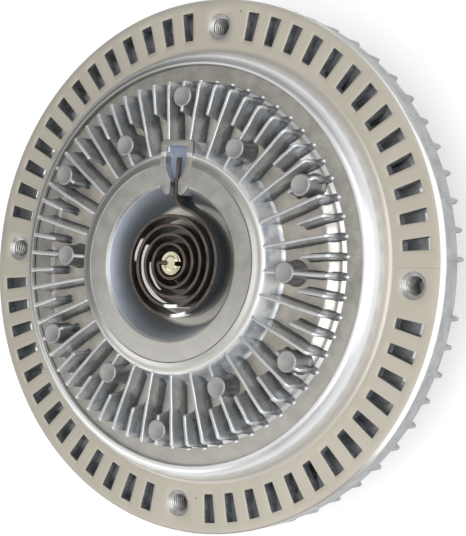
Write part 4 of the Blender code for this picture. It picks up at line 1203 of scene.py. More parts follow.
def cut_or_join(target: bpy.types.Object, tool: bpy.types.Object, operation: str) -> None:
    """Applies an exact Boolean to a mesh and removes the tool.

    Args:
        target: the object that changes.
        tool: the object that cuts or joins.
        operation: Blender's name of the operation.
    """
    modifier = target.modifiers.new("shape", "BOOLEAN")
    modifier.object, modifier.operation, modifier.solver = tool, operation, "EXACT"
    settle(target)
    bpy.data.objects.remove(tool)


def settle(piece: bpy.types.Object) -> None:
    """Applies a piece's modifiers to its mesh.

    Args:
        piece: the object.
    """
    graph = bpy.context.evaluated_depsgraph_get()
    mesh = bpy.data.meshes.new_from_object(piece.evaluated_get(graph))
    piece.modifiers.clear()
    piece.data = mesh


def soften_edges(piece: bpy.types.Object, width: float, angle: float) -> None:
    """Bevels a piece's sharp edges and applies it.

    Args:
        piece: the object.
        width: the bevel's width in millimetres.
        angle: the smallest angle of an edge that is bevelled, in degrees.
    """
    bevel = piece.modifiers.new("edges", "BEVEL")
    bevel.width, bevel.segments = width * MM, 2
    bevel.limit_method, bevel.angle_limit = "ANGLE", math.radians(angle)
    bevel.use_clamp_overlap = True
    settle(piece)
    piece.data.shade_smooth()
    piece.data.set_sharp_from_angle(angle=math.radians(SHARP))


# The body


@dataclass
class SlottedRing:
    """The ring with 52 keystone slots, four tapped holes and a turned outer edge.

    The fields along and across are how many steps a sector's straight sides and arcs have, and
    mouth_round is the small curve at an opening's edge.
    """

    outer: float = 95.0
    inner: float = 76.6
    edge: float = 0.45
    thickness: float = 4.0
    slot_inner: float = 81.0
    slot_outer: float = 91.0
    slot_inner_width: float = 3.5
    slot_outer_width: float = 4.4
    slot_corner: float = 0.5
    slot_pitch: float = math.radians(6.0)
    slots_per_quadrant: int = 13
    bolt_mouth: float = 4.65
    bolt_bore: float = 3.45
    thread_pitch: float = 1.25
    thread_depth: float = 0.6
    thread_fade: float = 0.6
    sleeve: float = 5.6
    mouth_round: float = 0.16
    across: int = 8
    along: int = 12
    corner_steps: int = 6

    def boundary(self, half_angle: float, across: int, radius_in: float, radius_out: float) -> np.ndarray:
        """A sector's border, walked from its inner right corner: out, round, in and back.

        Args:
            half_angle: half the sector's angle in radians.
            across: how many steps along an arc side.
            radius_in: the inner arc's radius.
            radius_out: the outer arc's radius.

        Returns:
            (n, 2) points: n is twice across plus twice along.
        """
        radial = np.linspace(radius_in, radius_out, self.along + 1)[:-1]
        sweep = np.linspace(-half_angle, half_angle, across + 1)[:-1]
        inner, outer = np.full(across, radius_in), np.full(across, radius_out)
        radii = np.concatenate([radial, outer, (radius_in + radius_out) - radial, inner])
        side = np.full(self.along, half_angle)
        angles = np.concatenate([-side, sweep, side, -sweep])
        return np.column_stack([radii * np.cos(angles), radii * np.sin(angles)])

    def slot_loop(self, grow: float) -> np.ndarray:
        """The slot's keystone outline with rounded corners, matched point by point to its sector's border.

        Args:
            grow: how far the outline lies outside the slot.

        Returns:
            (n, 2) points.
        """
        a, b = self.slot_inner - grow, self.slot_outer + grow
        wa, wb = self.slot_inner_width / 2 + grow, self.slot_outer_width / 2 + grow
        corners = [(a, -wa), (b, -wb), (b, wb), (a, wa)]
        steps = self.corner_steps
        arcs = softened(corners, self.slot_corner + grow, steps).reshape(4, steps + 1, 2)
        half = steps // 2
        loop = []
        for side, straight in enumerate([self.along - steps, self.across - steps] * 2):
            start, end = arcs[side, -1], arcs[(side + 1) % 4, 0]
            t = np.linspace(0, 1, straight + 1)[:, None]
            loop += [arcs[side, half:-1], start + (end - start) * t, arcs[(side + 1) % 4, 1:half]]
        return np.concatenate(loop)

    def sector(self, border: np.ndarray, mouth: Callable[[float], np.ndarray]) -> np.ndarray:
        """The grid from a sector's border over the face, down its opening's wall and out underneath.

        Row by row it goes from the border to the opening's edge, round a small curve into the wall,
        down the wall, and back to the border at the ring's underside.

        Args:
            border: the sector's border.
            mouth: gives the opening's outline, grown by a distance.

        Returns:
            A (rows, points, 3) grid.
        """
        bend, under = self.mouth_round, -self.thickness
        rows = [(border, 0.0), (border * 0.45 + mouth(bend) * 0.55, 0.0), (mouth(bend), 0.0)]
        rows += [(mouth(bend * 0.3), -bend * 0.3), (mouth(0.0), -bend)]
        rows += [(mouth(0.0), under + bend), (mouth(bend), under), (border, under)]
        return np.stack([np.column_stack([loop, np.full(len(loop), FACE + z)]) for loop, z in rows])

    def bolt_loop(self, border: np.ndarray, grow: float) -> np.ndarray:
        """A circle about the bolt hole's centre, with a point in the direction of each border point.

        Args:
            border: the sector's border.
            grow: how far the circle lies outside the hole's mouth.

        Returns:
            (n, 2) points.
        """
        way = border - (BOLT_CIRCLE, 0.0)
        way = way / np.linalg.norm(way, axis=1)[:, None]
        return (BOLT_CIRCLE, 0.0) + way * (self.bolt_mouth + grow)

    def build(self) -> bpy.types.Object:
        """Builds the ring plate as one closed surface.

        Returns:
            The object.
        """
        work = Patchwork("slotted_ring")
        shoulder = self.outer - self.edge
        border = self.boundary(self.slot_pitch / 2, self.across, self.inner, shoulder)
        grid = self.sector(border, self.slot_loop)
        first = math.pi / 4 - self.slot_pitch * (self.slots_per_quadrant - 1) / 2
        slots = first + np.arange(self.slots_per_quadrant) * self.slot_pitch
        work.add_grid_copies(grid, (QUARTERS[:, None] + slots[None]).ravel(), False, True)
        border = self.boundary(self.slot_pitch, 2 * self.across, self.inner, shoulder)
        grid = self.sector(border, lambda grow: self.bolt_loop(border, grow))
        work.add_grid_copies(grid, QUARTERS, False, True)
        low = FACE - self.thickness
        rim = [(shoulder, FACE), (self.outer - 0.12, FACE - 0.1), (self.outer, FACE - self.edge)]
        rim += [(self.outer, FACE - 2.0), (self.outer, FACE - 3.5), (shoulder, low)]
        round_steps = round(TAU / self.slot_pitch) * self.across
        work.add_grid(lathe(np.array(rim), round_steps), ring_rows=True)
        work.add_grid(lathe(np.array([(self.inner, low), (self.inner, FACE)]), round_steps), ring_rows=True)
        return work.to_object()

    def threads(self) -> bpy.types.Object:
        """Four tapped sleeves: radius = bore + depth times a triangle wave of height / pitch + angle / turn.

        Returns:
            The object.
        """
        work = Patchwork("bolt_threads")
        rows_per_pitch, segments = 8, 40
        top, bottom = -1.1, -BOLT_DEPTH + 0.3
        rows = int((top - bottom) / self.thread_pitch * rows_per_pitch)
        z = np.linspace(top, bottom, rows)[None]
        angle = steps_round(segments)
        phase = (z / self.thread_pitch + angle / TAU) % 1.0
        wave = 1 - np.abs(2 * phase - 1)
        fade = ramp(top - z, self.thread_fade) * ramp(z - bottom, self.thread_fade)
        radius = self.bolt_bore - 0.1 + self.thread_depth * wave * fade
        mouth = [(self.bolt_mouth + 0.03, -0.03), (self.bolt_bore + 0.55, -0.65)]
        foot = [(self.bolt_bore + 0.1, -BOLT_DEPTH), (self.sleeve, -BOLT_DEPTH + 0.1), (self.sleeve, -1.6)]
        grid = sleeve_grid(mouth, radius, z, foot) + (BOLT_CIRCLE, 0.0, FACE)
        work.add_grid_copies(grid, QUARTERS, True, True)
        return work.to_object(22)


def ramp(distance: np.ndarray, length: float) -> np.ndarray:
    """Grows evenly from 0 to 1 over a length."""
    return np.clip(distance / length, 0, 1)


def sleeve_grid(head: Sequence[Span], radius: np.ndarray, z: np.ndarray, foot: Sequence[Span]) -> np.ndarray:
    """A tapped sleeve about the axis: the threads between plain points at both ends.

    Args:
        head: radii and heights of the points before the threads.
        radius: the threads' (segments, rows) radii.
        z: the rows' heights.
        foot: radii and heights of the points after the threads.

    Returns:
        A (segments, points, 3) grid whose rows join round.
    """
    segments = len(radius)
    before, after = (np.broadcast_to(np.array(ends)[None], (segments, len(ends), 2)) for ends in (head, foot))
    profile = np.concatenate([before, np.stack(np.broadcast_arrays(radius, z), -1), after], 1)
    return around(profile[..., 0], steps_round(segments), profile[..., 1])


@dataclass
class Housing:
    """The body behind and inside the ring: shoulder, skirt, back wall, rear fins and hub boss.

    Long rear fins start at the boss and short ones short_setback outside it. A fin behind a bolt
    hole ends before the hole.
    """

    segments: int = 360
    foot: float = 76.0
    foot_blend: float = 1.5
    crest: float = 70.9
    lip_height: float = 8.6
    rim_depth: float = 13.3
    shell: float = 76.9
    flare: float = 6.6
    rear_face: float = 29.5
    bottom: float = 17.5
    boss: float = 29.4
    fin_outer_low: float = 27.0
    fin_inner_low: float = 19.5
    fin_count: int = 60
    fin_end: float = 94.9
    bolt_fin_end: float = 80.4
    short_setback: float = 22.0

    def shoulder(self) -> bpy.types.Object:
        """The polished shoulder, a quarter ellipse: ((r - crest) / width)^2 + (z / height)^2 = 1.

        A concave arc of radius foot_blend carries its foot into the ring's face.

        Returns:
            The object.
        """
        angle = np.linspace(math.pi / 2, math.radians(4), 26)
        width = self.foot - self.crest
        curve = np.column_stack([self.crest + width * np.cos(angle), FACE + self.lip_height * np.sin(angle)])
        start = [(70.95, FACE + 8.57), (70.62, FACE + 8.45), (70.42, FACE + 8.15), (70.4, FACE + 7.32)]
        inside = [(72.5, FACE + 7.3), (72.5, FACE + 2.0), (69.0, FACE + 2.0), (69.0, FACE - 1.0)]
        turn = np.radians(np.linspace(268, 184, 10))
        arc = np.column_stack([np.cos(turn), np.sin(turn)])
        blend = np.array([self.foot - 0.02, FACE + 0.012]) + self.foot_blend * (1 + arc)
        curve = curve[curve[:, 1] > FACE + self.foot_blend + 0.15]
        end = [(self.foot, FACE - 1.0), (self.foot + self.foot_blend, FACE - 0.4)]
        outline = np.concatenate([start, inside, end, blend, curve[::-1][:-1]])
        return turned_piece("polished_shoulder", outline, 2 * self.segments)

    def rear_fins(self, work: Patchwork) -> None:
        """The fins behind the ring, each a stack of rounded plan outlines from its root to its lower edge.

        Args:
            work: the casting that they join.
        """
        levels = np.array([0.0, 0.35, 0.7, 0.9, 0.96, 0.99, 1.0])
        shrink = np.array([-0.25, 0.0, 0.0, 0.05, 0.15, 0.35, 0.6])
        index = np.arange(self.fin_count)
        for at_bolt in (False, True):
            for long in (False, True):
                inner = self.boss - 1.5 if long else self.boss + self.short_setback
                outer = self.bolt_fin_end if at_bolt else self.fin_end
                stations = np.array([inner, 40.0, 55.0, 70.0, 74.0, 75.5, 77.2, 84.0, outer])
                stations = stations[(stations >= inner) & (stations <= outer)]
                loops = []
                for level, cut in zip(levels, shrink):
                    half = 1.2 - 0.25 * level - cut
                    loops.append(self.fin_loop(stations, half, cut * 0.9, level))
                at_hole = index % (self.fin_count // BOLT_COUNT) == 0
                chosen = index[(at_hole == at_bolt) & ((index % 2 == 0) == long)]
                faces = stack_faces(len(levels), len(loops[0]))
                work.add_copies(np.concatenate(loops), faces, chosen * TAU / self.fin_count)

    def fin_loop(self, stations: np.ndarray, half: float, cut: float, level: float) -> np.ndarray:
        """One plan outline of a rear fin, with a round nose, at a share of its depth.

        Args:
            stations: radii along the fin.
            half: half its thickness.
            cut: how far its ends are drawn in.
            level: 0 at its root and 1 at its lower edge.

        Returns:
            (n, 3) points.
        """
        half = max(half, 0.12)
        nose = np.array([0.0, 0.45, 0.8, 1.0])
        round_y = np.sqrt(1 - nose[1:] ** 2)
        end = stations[-1] - cut - half
        r = np.concatenate([stations[:-1], end + nose * half])
        y = np.concatenate([np.full(len(stations), half), half * round_y])
        r = np.concatenate([r, r[::-1][1:]])
        y = np.concatenate([-y, y[::-1][1:]])
        root = np.interp(r, [74.5, 76.5], [self.rear_face + 1.0, FACE - 3.5])
        low = np.interp(r, [self.boss, 94.4], [self.fin_inner_low, self.fin_outer_low])
        return np.column_stack([r, y, root + (low - root) * level])

    def casting(self) -> bpy.types.Object:
        """The as-cast back: skirt, shell, back wall with its bearing bore, fins and bolt bosses.

        Returns:
            The object.
        """
        work = Patchwork("housing_casting")
        depth = FACE - self.rim_depth
        skirt = softened(
            [(94.86, FACE - 1.0), (94.82, FACE - 3.4), (94.55, depth), (92.5, depth), (92.0, FACE - 3.5),
             (92.0, FACE - 1.0)],
            [0.1, 0.1, 0.9, 0.6, 0.3, 0.1], 4)
        work.add_grid(lathe(skirt, self.segments), ring_rows=True, ring_columns=True)
        shell, flared, rear = self.shell, self.shell + self.flare, self.rear_face
        outside = [
            (shell + 0.8, FACE - 2.0), (shell, FACE - 4.6), (flared, rear + 0.6), (flared - 1.0, rear - 0.8),
            (shell - 3.0, rear), (self.boss + 1.6, rear), (self.boss, self.bottom), (23.8, self.bottom)]
        inside = [
            (23.8, 18.6), (25.4, 18.6), (25.4, 20.4), (23.8, 20.4), (23.8, 32.7), (20.5, 32.7), (20.5, 34.0),
            (68.9, 34.0), (69.0, FACE + 1.9), (75.0, FACE - 0.5), (shell, FACE - 1.0)]
        soft = [0.3, 1.2, 0.5, 0.5, 1.0, 2.0, 0.8, 0.5] + [0.1] * len(inside)
        wall = softened(outside + inside, soft)
        work.add_grid(lathe(wall, self.segments), ring_rows=True, ring_columns=True)
        corners = [(6.9, -3.0), (6.6, -BOLT_DEPTH), (5.0, -BOLT_DEPTH), (5.0, -3.0)]
        boss = softened(corners, [0.1, 0.7, 0.3, 0.1])
        work.add_grid_copies(lathe(boss, 40, (BOLT_CIRCLE, 0.0, FACE)), QUARTERS, True, True)
        self.rear_fins(work)
        return work.to_object(38)


# The cover


@dataclass
class Cover:
    """The finned front cover with its coil cup, collar, pocket and pads. Heights are over the face."""

    segments: int = 360
    rim: float = 72.2
    rim_top: float = 7.0
    floor: float = 9.7
    top: float = 18.55
    fin_top: float = 17.9
    fin_outer: float = 63.4
    fin_foot: float = 64.5
    nub_radius: float = 64.75
    long_start: float = 38.4
    short_start: float = 52.6
    short_foot: float = 1.3
    fin_width: float = 1.25
    fin_base: float = 2.05
    fin_count: int = 60
    pad_count: int = 12
    pad_radius: float = 3.7
    inner_pads: float = 46.65
    outer_pads: float = 58.0
    pocket_floor: float = 15.4

    def floor_height(self, r: np.ndarray) -> np.ndarray:
        """The floor between the fins over the face, at a radius."""
        return np.interp(r, [59.0, 62.0, 63.1, 64.2], [self.floor, 8.05, 7.9, self.rim_top])

    def plate(self) -> bpy.types.Object:
        """The cover's annulus, slope and floor, turned with a small gap to the lip.

        Returns:
            The object.
        """
        outline = softened(
            [(self.rim, 3.3), (self.rim, self.rim_top), (64.3, self.rim_top), (63.15, 7.92), (62.1, 8.05),
             (59.0, self.floor), (38.0, self.floor), (38.0, 5.5), (50.0, 5.5), (51.2, -1.0), (68.6, -1.0),
             (68.6, 3.3)],
            [0.1, 0.25, 0.25, 0.2, 0.3, 0.5, 0.1, 0.1, 0.1, 0.1, 0.1, 0.1])
        return turned_piece("cover_plate", outline + (0.0, FACE), 2 * self.segments)

    def fin_points(self, start: float, phase: np.ndarray) -> tuple[np.ndarray, list[np.ndarray]]:
        """Fins as stacks of rounded plan outlines: level 0 is the floor and level 1 the top.

        The outline grows near the floor into a root fillet and shrinks near the top into a rounded
        edge, and each fin has its own slow wobble, as cast fins have.

        Args:
            start: the radius where the fins start at the top.
            phase: one number for each fin, which sets its wobble.

        Returns:
            (fins, points, 3) and the faces of one fin.
        """
        levels = np.array([-0.09, 0.0, 0.03, 0.08, 0.16, 0.55, 0.9, 0.955, 0.985, 1.0])
        grow = np.array([0.6, 0.5, 0.26, 0.09, 0.0, 0.0, 0.0, -0.03, -0.1, -0.25])
        foot = self.short_foot if start == self.short_start else 0.0
        nose = np.sin(np.linspace(0, math.pi / 2, 5))
        side = np.sqrt(np.clip(1 - nose**2, 0, 1))
        loops = []
        for level, extra in zip(levels, grow):
            share = min(max(level, 0.0), 1.0)
            half = (self.fin_base * (1 - share) + self.fin_width * share) / 2 + extra
            inner = start - foot * (1 - share) - extra
            outer = self.fin_foot + (self.fin_outer - self.fin_foot) * share + min(extra, 0.4)
            outer -= 0.9 * max(0.0, (share - 0.9) / 0.1) ** 2
            middle = np.linspace(inner + half, outer - half, 9)
            r = np.concatenate([middle, outer - half + half * nose[1:]])
            y = np.concatenate([np.full(9, half), half * side[1:]])
            head = inner + half - half * nose[::-1][:-1]
            r = np.concatenate([head, r])
            y = np.concatenate([half * side[::-1][:-1], y])
            r = np.concatenate([r, r[::-1][1:-1]])
            y = np.concatenate([-y, y[::-1][1:-1]])
            base = FACE + self.floor_height(r)
            z = base + (FACE + self.fin_top - base) * level
            loops.append(np.column_stack([r, y, z]))
        points = np.concatenate(loops)[None].repeat(len(phase), 0)
        r, z, p = points[..., 0], points[..., 2], phase[:, None]
        points[..., 1] += 0.06 * np.sin(r * 0.42 + p * 7.0) + 0.04 * np.sin(r * 1.3 + p * 17.0)
        lift = np.clip((z - FACE - 15.0) / 3.0, 0, 1)
        points[..., 2] += lift * (0.05 * np.sin(r * 0.6 + p * 11.0) - 0.05)
        return points, stack_faces(len(levels), len(loops[0]))

    def fins(self) -> bpy.types.Object:
        """The radial fins, long and short in turn, with a small cast nub at the foot of each.

        Returns:
            The object.
        """
        work = Patchwork("cover_fins")
        index = np.arange(self.fin_count)
        angles = index * TAU / self.fin_count + COVER_TURN
        for start, parity in ((self.long_start, 0), (self.short_start, 1)):
            chosen = index % 2 == parity
            points, faces = self.fin_points(start, np.sin(index[chosen] * 12.9898) * 3.0)
            work.add_copies(points, faces, angles[chosen])
        dome = np.array([(0.0, -0.6), (0.85, -0.6), (0.85, 0.25), (0.7, 0.5), (0.42, 0.65), (0.0, 0.7)])
        nub = lathe(dome, 12) * (0.8, 1.0, 1.0) + (self.nub_radius, 0.0, FACE + self.rim_top)
        work.add_grid_copies(nub, angles, True, False)
        return work.to_object(40)

    def pads(self) -> bpy.types.Object:
        """The round pads, inner and outer in turn, with a drafted side, a root fillet and a faint sunk disc.

        Returns:
            The object.
        """
        work = Patchwork("cover_pads")
        r = self.pad_radius
        top = self.fin_top + 0.1
        for index in range(self.pad_count):
            center = self.outer_pads if index % 2 else self.inner_pads
            base = float(self.floor_height(np.array([center + 2.0]))[0]) - 0.6
            profile = [(0.0, base), (r + 1.0, base), (r + 0.9, base + 0.7), (r + 0.35, base + 1.2)]
            profile += [(r + 0.16, base + 2.4)]
            profile += [(r, top - 0.45), (r - 0.06, top - 0.2), (r - 0.2, top - 0.05), (r - 0.42, top)]
            profile += [(r - 0.75, top), (r - 0.85, top - 0.05), (0.0, top - 0.05)]
            grid = lathe(np.array(profile), 40, (center, 0.0, FACE))
            work.add_grid_copies(grid, np.array([index * TAU / self.pad_count + COVER_TURN]), True, False)
        return work.to_object(40)

    def hub(self) -> bpy.types.Object:
        """The hub round the coil: turned, joined to its collar and prongs, then cut by pocket and throat.

        Returns:
            The object.
        """
        outline = softened(
            [(42.6, 9.2), (42.4, 9.72), (41.2, 10.3), (38.9, 16.6), (38.3, 17.5), (36.5, 17.6),
             (34.3, self.top), (27.4, self.top), (26.5, 17.8), (26.1, 16.8), (22.3, 6.6), (21.2, 5.0),
             (8.4, 5.0), (7.6, 6.4), (3.95, 6.4), (3.95, 1.2), (9.0, 1.2), (9.0, 2.0), (28.0, 2.0),
             (32.0, 9.2)],
            [0.2, 0.3, 0.6, 0.5, 0.9, 0.8, 0.5, 0.4, 0.4, 0.5, 1.0, 0.6, 0.3, 0.3, 0.15] + [0.1] * 5)
        hub = turned_piece("cover_hub", outline + (0.0, FACE), 240)
        side = [(28.4, 6.3), (26.0, 5.9), (24.6, 4.6), (23.65, 3.3), (23.65, 2.6), (24.2, 1.9), (24.6, 1.2)]
        half = [(28.8, 1.7), (31.1, 3.0), (33.3, 4.0), (35.4, 4.3), (39.5, 4.3), (40.7, 4.0), (40.75, 2.6)]
        collar = softened([(33.0, -6.7), (42.8, -6.7), (42.8, 6.7), (33.0, 6.7)], [0.1, 1.6, 1.6, 0.1], 5)
        throat = np.array([(20.0, -1.7), (29.2, -1.7), (29.2, 1.7), (20.0, 1.7)])
        for name, outline, low, high, operation in (
                ("collar", collar, 8.6, self.top - 0.02, "UNION"),
                ("prongs", softened(mirrored(side), 0.5), 9.0, self.top - 0.03, "UNION"),
                ("pocket", softened(mirrored(half), 0.7, 4), self.pocket_floor, self.top + 1, "DIFFERENCE"),
                ("throat", throat, 7.5, self.top + 1, "DIFFERENCE")):
            cut_or_join(hub, prism_piece(name, outline, low, high, TAU / 4 + COVER_TURN), operation)
        soften_edges(hub, 0.28, 34.0)
        return hub


# The coil and its post


@dataclass
class ThermoCoil:
    """The bimetal strip on its edge: a hook through the post, a spiral and a tail into the pocket.

    Heights are over the face. Outside tail_from the tail's lower edge is at tail_low, so that it
    clears the pocket's floor.
    """

    post: float = 4.3
    start: float = 5.3
    inset: float = 0.95
    pitch: float = 3.25
    turns: float = 4.715
    thickness: float = 1.05
    bottom: float = 7.8
    top: float = 17.5
    tail_bend: float = 0.035
    tail_low: float = 15.75
    tail_from: float = 28.3
    tail_end: float = 36.8
    steps_per_turn: int = 88
    blend_turn: float = 0.25

    def spiral(self, first: float, last: float) -> np.ndarray:
        """Points where the radius grows evenly with the turn: r = start - inset + pitch * turn.

        Args:
            first: the turn where it starts.
            last: the turn where it ends.

        Returns:
            (n, 2) points in millimetres.
        """
        turn = np.linspace(first, last, int((last - first) * self.steps_per_turn) + 2)
        radius = np.maximum(self.start, self.start - self.inset + self.pitch * turn)
        angle = math.pi + TAU * turn
        return np.column_stack([radius * np.cos(angle), radius * np.sin(angle)])

    def hook(self) -> np.ndarray:
        """The strip's inner end, through the post's slit and round its left-hand side.

        Returns:
            (n, 2) points in millimetres.
        """
        bend = self.start - self.post
        angle = np.radians(np.linspace(102, 168, 8))
        arc = np.column_stack([bend * np.cos(angle) - self.post, -bend + bend * np.sin(angle)])
        straight = np.column_stack([np.linspace(-1.4, 0.4 - self.post, 4), np.zeros(4)])
        return np.concatenate([straight, arc])

    def tail(self) -> np.ndarray:
        """The strip's outer end, bent out of the spiral and along the throat to the pocket.

        Returns:
            (n, 2) points in millimetres.
        """
        end = self.start - self.inset + self.pitch * self.turns
        bend = end * math.sin(TAU * self.tail_bend)
        angle = np.radians(np.linspace(250, 180, 8))
        arc = np.column_stack([bend + bend * np.cos(angle), end + bend + bend * np.sin(angle)])
        straight = np.column_stack([np.zeros(9), np.linspace(end + bend + 1.0, self.tail_end, 9)])
        return np.concatenate([arc, straight])

    def strip(self, name: str, path: np.ndarray) -> bpy.types.Object:
        """Carries a rounded upright section along a path.

        The section's point (s, h) at path point p with side vector n is p + s n, at height h.

        Args:
            name: the piece's name.
            path: (n, 2) points in millimetres.

        Returns:
            The object.
        """
        along = np.gradient(path, axis=0)
        along /= np.linalg.norm(along, axis=1)[:, None]
        side = np.column_stack([-along[:, 1], along[:, 0]])
        out = np.hypot(path[:, 0], path[:, 1])
        in_tail = (np.abs(path[:, 0]) < 1.0) & (path[:, 1] > 20.0)
        low = np.where(in_tail & (out > self.tail_from), self.tail_low, self.bottom)
        half = self.thickness / 2
        section = softened([(half, 0.0), (-half, 0.0), (-half, 1.0), (half, 1.0)], 0.2, 3)
        share = np.where(section[:, 1] > 0.5, 1.0, 0.0)
        inset = np.where(section[:, 1] > 0.5, section[:, 1] - 1.0, section[:, 1])
        height = low[:, None] + (self.top - low)[:, None] * share[None] + inset[None]
        place_xy = path[:, None] + side[:, None] * section[None, :, :1]
        work = Patchwork(name)
        work.add_stack(turned(np.concatenate([place_xy, FACE + height[..., None]], -1), COVER_TURN))
        return work.to_object(40)

    def build(self) -> tuple[bpy.types.Object, bpy.types.Object]:
        """Builds both lengths of the strip.

        Returns:
            The coil that rides on the housing, and the hook through the post.
        """
        inner = np.concatenate([self.hook(), self.spiral(0.06, self.blend_turn)])
        outer = np.concatenate([self.spiral(self.blend_turn, self.turns), self.tail()])
        return self.strip("thermo_coil", outer), self.strip("coil_hook", inner)


@dataclass
class ControlShaft:
    """The brass post with its slit and the journal below it. Heights are over the face."""

    post: float = 4.3
    top: float = 17.4
    slit: float = 0.8
    slit_ends: Sequence[float] = (-1.3, 1.9)
    slit_heights: Span = (7.6, 18.0)

    def build(self) -> bpy.types.Object:
        """The turned post, peened over the strip between the two open ends of its slit.

        Returns:
            The object.
        """
        outline = softened(
            [(0.0, self.top), (2.2, self.top - 0.1), (2.8, self.top - 0.45),
             (self.post - 0.9, self.top - 0.4), (self.post - 0.2, self.top - 0.25),
             (self.post, self.top - 0.9), (self.post, 7.5), (3.6, 7.5), (3.6, 2.6), (0.0, 2.6)],
            [0.02, 0.5, 0.3, 0.4, 0.4, 0.4, 0.2, 0.1, 0.2, 0.02])
        post = turned_piece("control_post", outline + (0.0, FACE), 96)
        for inner in self.slit_ends:
            outer = math.copysign(self.post + 1.0, inner)
            corners = [(inner, -self.slit), (outer, -self.slit), (outer, self.slit), (inner, self.slit)]
            rounded = softened(corners, [0.5, 0.1, 0.1, 0.5])
            cutter = prism_piece("slit", rounded, *self.slit_heights, COVER_TURN)
            cut_or_join(post, cutter, "DIFFERENCE")
        soften_edges(post, 0.16, 40.0)
        return post


# The shaft and the bearing


@dataclass
class InputShaft:
    """The hex hub with its tapped socket, the flange and the journal behind the housing.

    The hub's ends are chamfered by a cone that leaves cone_start of the corners at an end and widens
    by cone_slope of the distance from it.
    """

    flats: float = 32.0
    length: float = 14.0
    cone_start: float = 2.6
    cone_slope: float = 1.75
    socket: float = 10.4
    socket_depth: float = 15.0
    thread_pitch: float = 1.5
    thread_depth: float = 0.5
    thread_fade: float = 0.6
    corner_steps: int = 20

    def hexagon(self, work: Patchwork) -> None:
        """The hub: radius = the smaller of the hexagon's, flats / 2 / cos(angle), and the chamfer cone's.

        Args:
            work: the shaft that it joins.
        """
        angle = np.linspace(0, TAU, 6 * self.corner_steps, endpoint=False)
        from_flat = (angle % (TAU / 6)) - TAU / 12
        hexagon = self.flats / 2 / np.cos(from_flat)
        corner = self.flats / math.sqrt(3)
        z = np.array([0.0, 0.25, 0.6, 1.0, 1.5, 2.2, 3.2, 7.0])
        z = np.concatenate([z, self.length - z[:-1][::-1]])
        near_end = np.minimum(z, self.length - z)
        cone = corner - self.cone_start + self.cone_slope * near_end
        sides = around(np.minimum(hexagon[:, None], cone[None]), angle[:, None], z)
        ends = [around(self.socket + 1.2, angle[:, None], end) for end in (0.0, self.length)]
        work.add_grid(np.concatenate([ends[0], sides, ends[1]], 1), ring_rows=True, ring_columns=True)

    def socket_sleeve(self, work: Patchwork) -> None:
        """The tapped socket: radius = bore + depth times a clipped wave of height / pitch - angle / turn.

        Args:
            work: the shaft that it joins.
        """
        low, high, end = 1.4, self.socket_depth - 0.2, self.socket_depth
        z = np.linspace(low, high, 76)[None]
        phase = (z / self.thread_pitch - steps_round(72) / TAU) % 1.0
        wave = np.clip(1.2 - np.abs(2 * phase - 1) * 1.6, 0, 1)
        fade = ramp(z - low, self.thread_fade) * ramp(high - z, self.thread_fade)
        radius = self.socket + 0.1 + self.thread_depth * wave * fade
        head = [(self.socket + 1.4, 0.02), (self.socket + 1.3, 0.05)]
        foot = [(0.0, end + 2.6), (0.0, end + 3.4), (self.socket + 1.4, end + 2.0)]
        work.add_grid(sleeve_grid(head, radius, z, foot), ring_rows=True, ring_columns=True)

    def build(self) -> bpy.types.Object:
        """Builds the whole shaft.

        Returns:
            The object.
        """
        work = Patchwork("input_hub")
        self.hexagon(work)
        self.socket_sleeve(work)
        outline = softened(
            [(11.0, 13.0), (14.0, 13.0), (14.0, 17.2), (16.5, 17.2), (16.5, 20.1), (12.5, 20.1), (12.5, 32.4),
             (10.0, 32.4), (10.0, 40.1), (9.0, 40.1), (9.0, 41.5), (10.0, 41.5), (10.0, 42.1), (0.0, 42.1),
             (0.0, 18.2), (11.0, 16.5)],
            [0.1, 0.1, 0.5, 0.3, 0.5, 0.2, 0.4, 0.2, 0.1, 0.1, 0.1, 0.1, 0.3, 0.02, 0.02, 0.1])
        work.add_grid(lathe(outline, 120), ring_rows=True, ring_columns=True)
        return work.to_object(30)


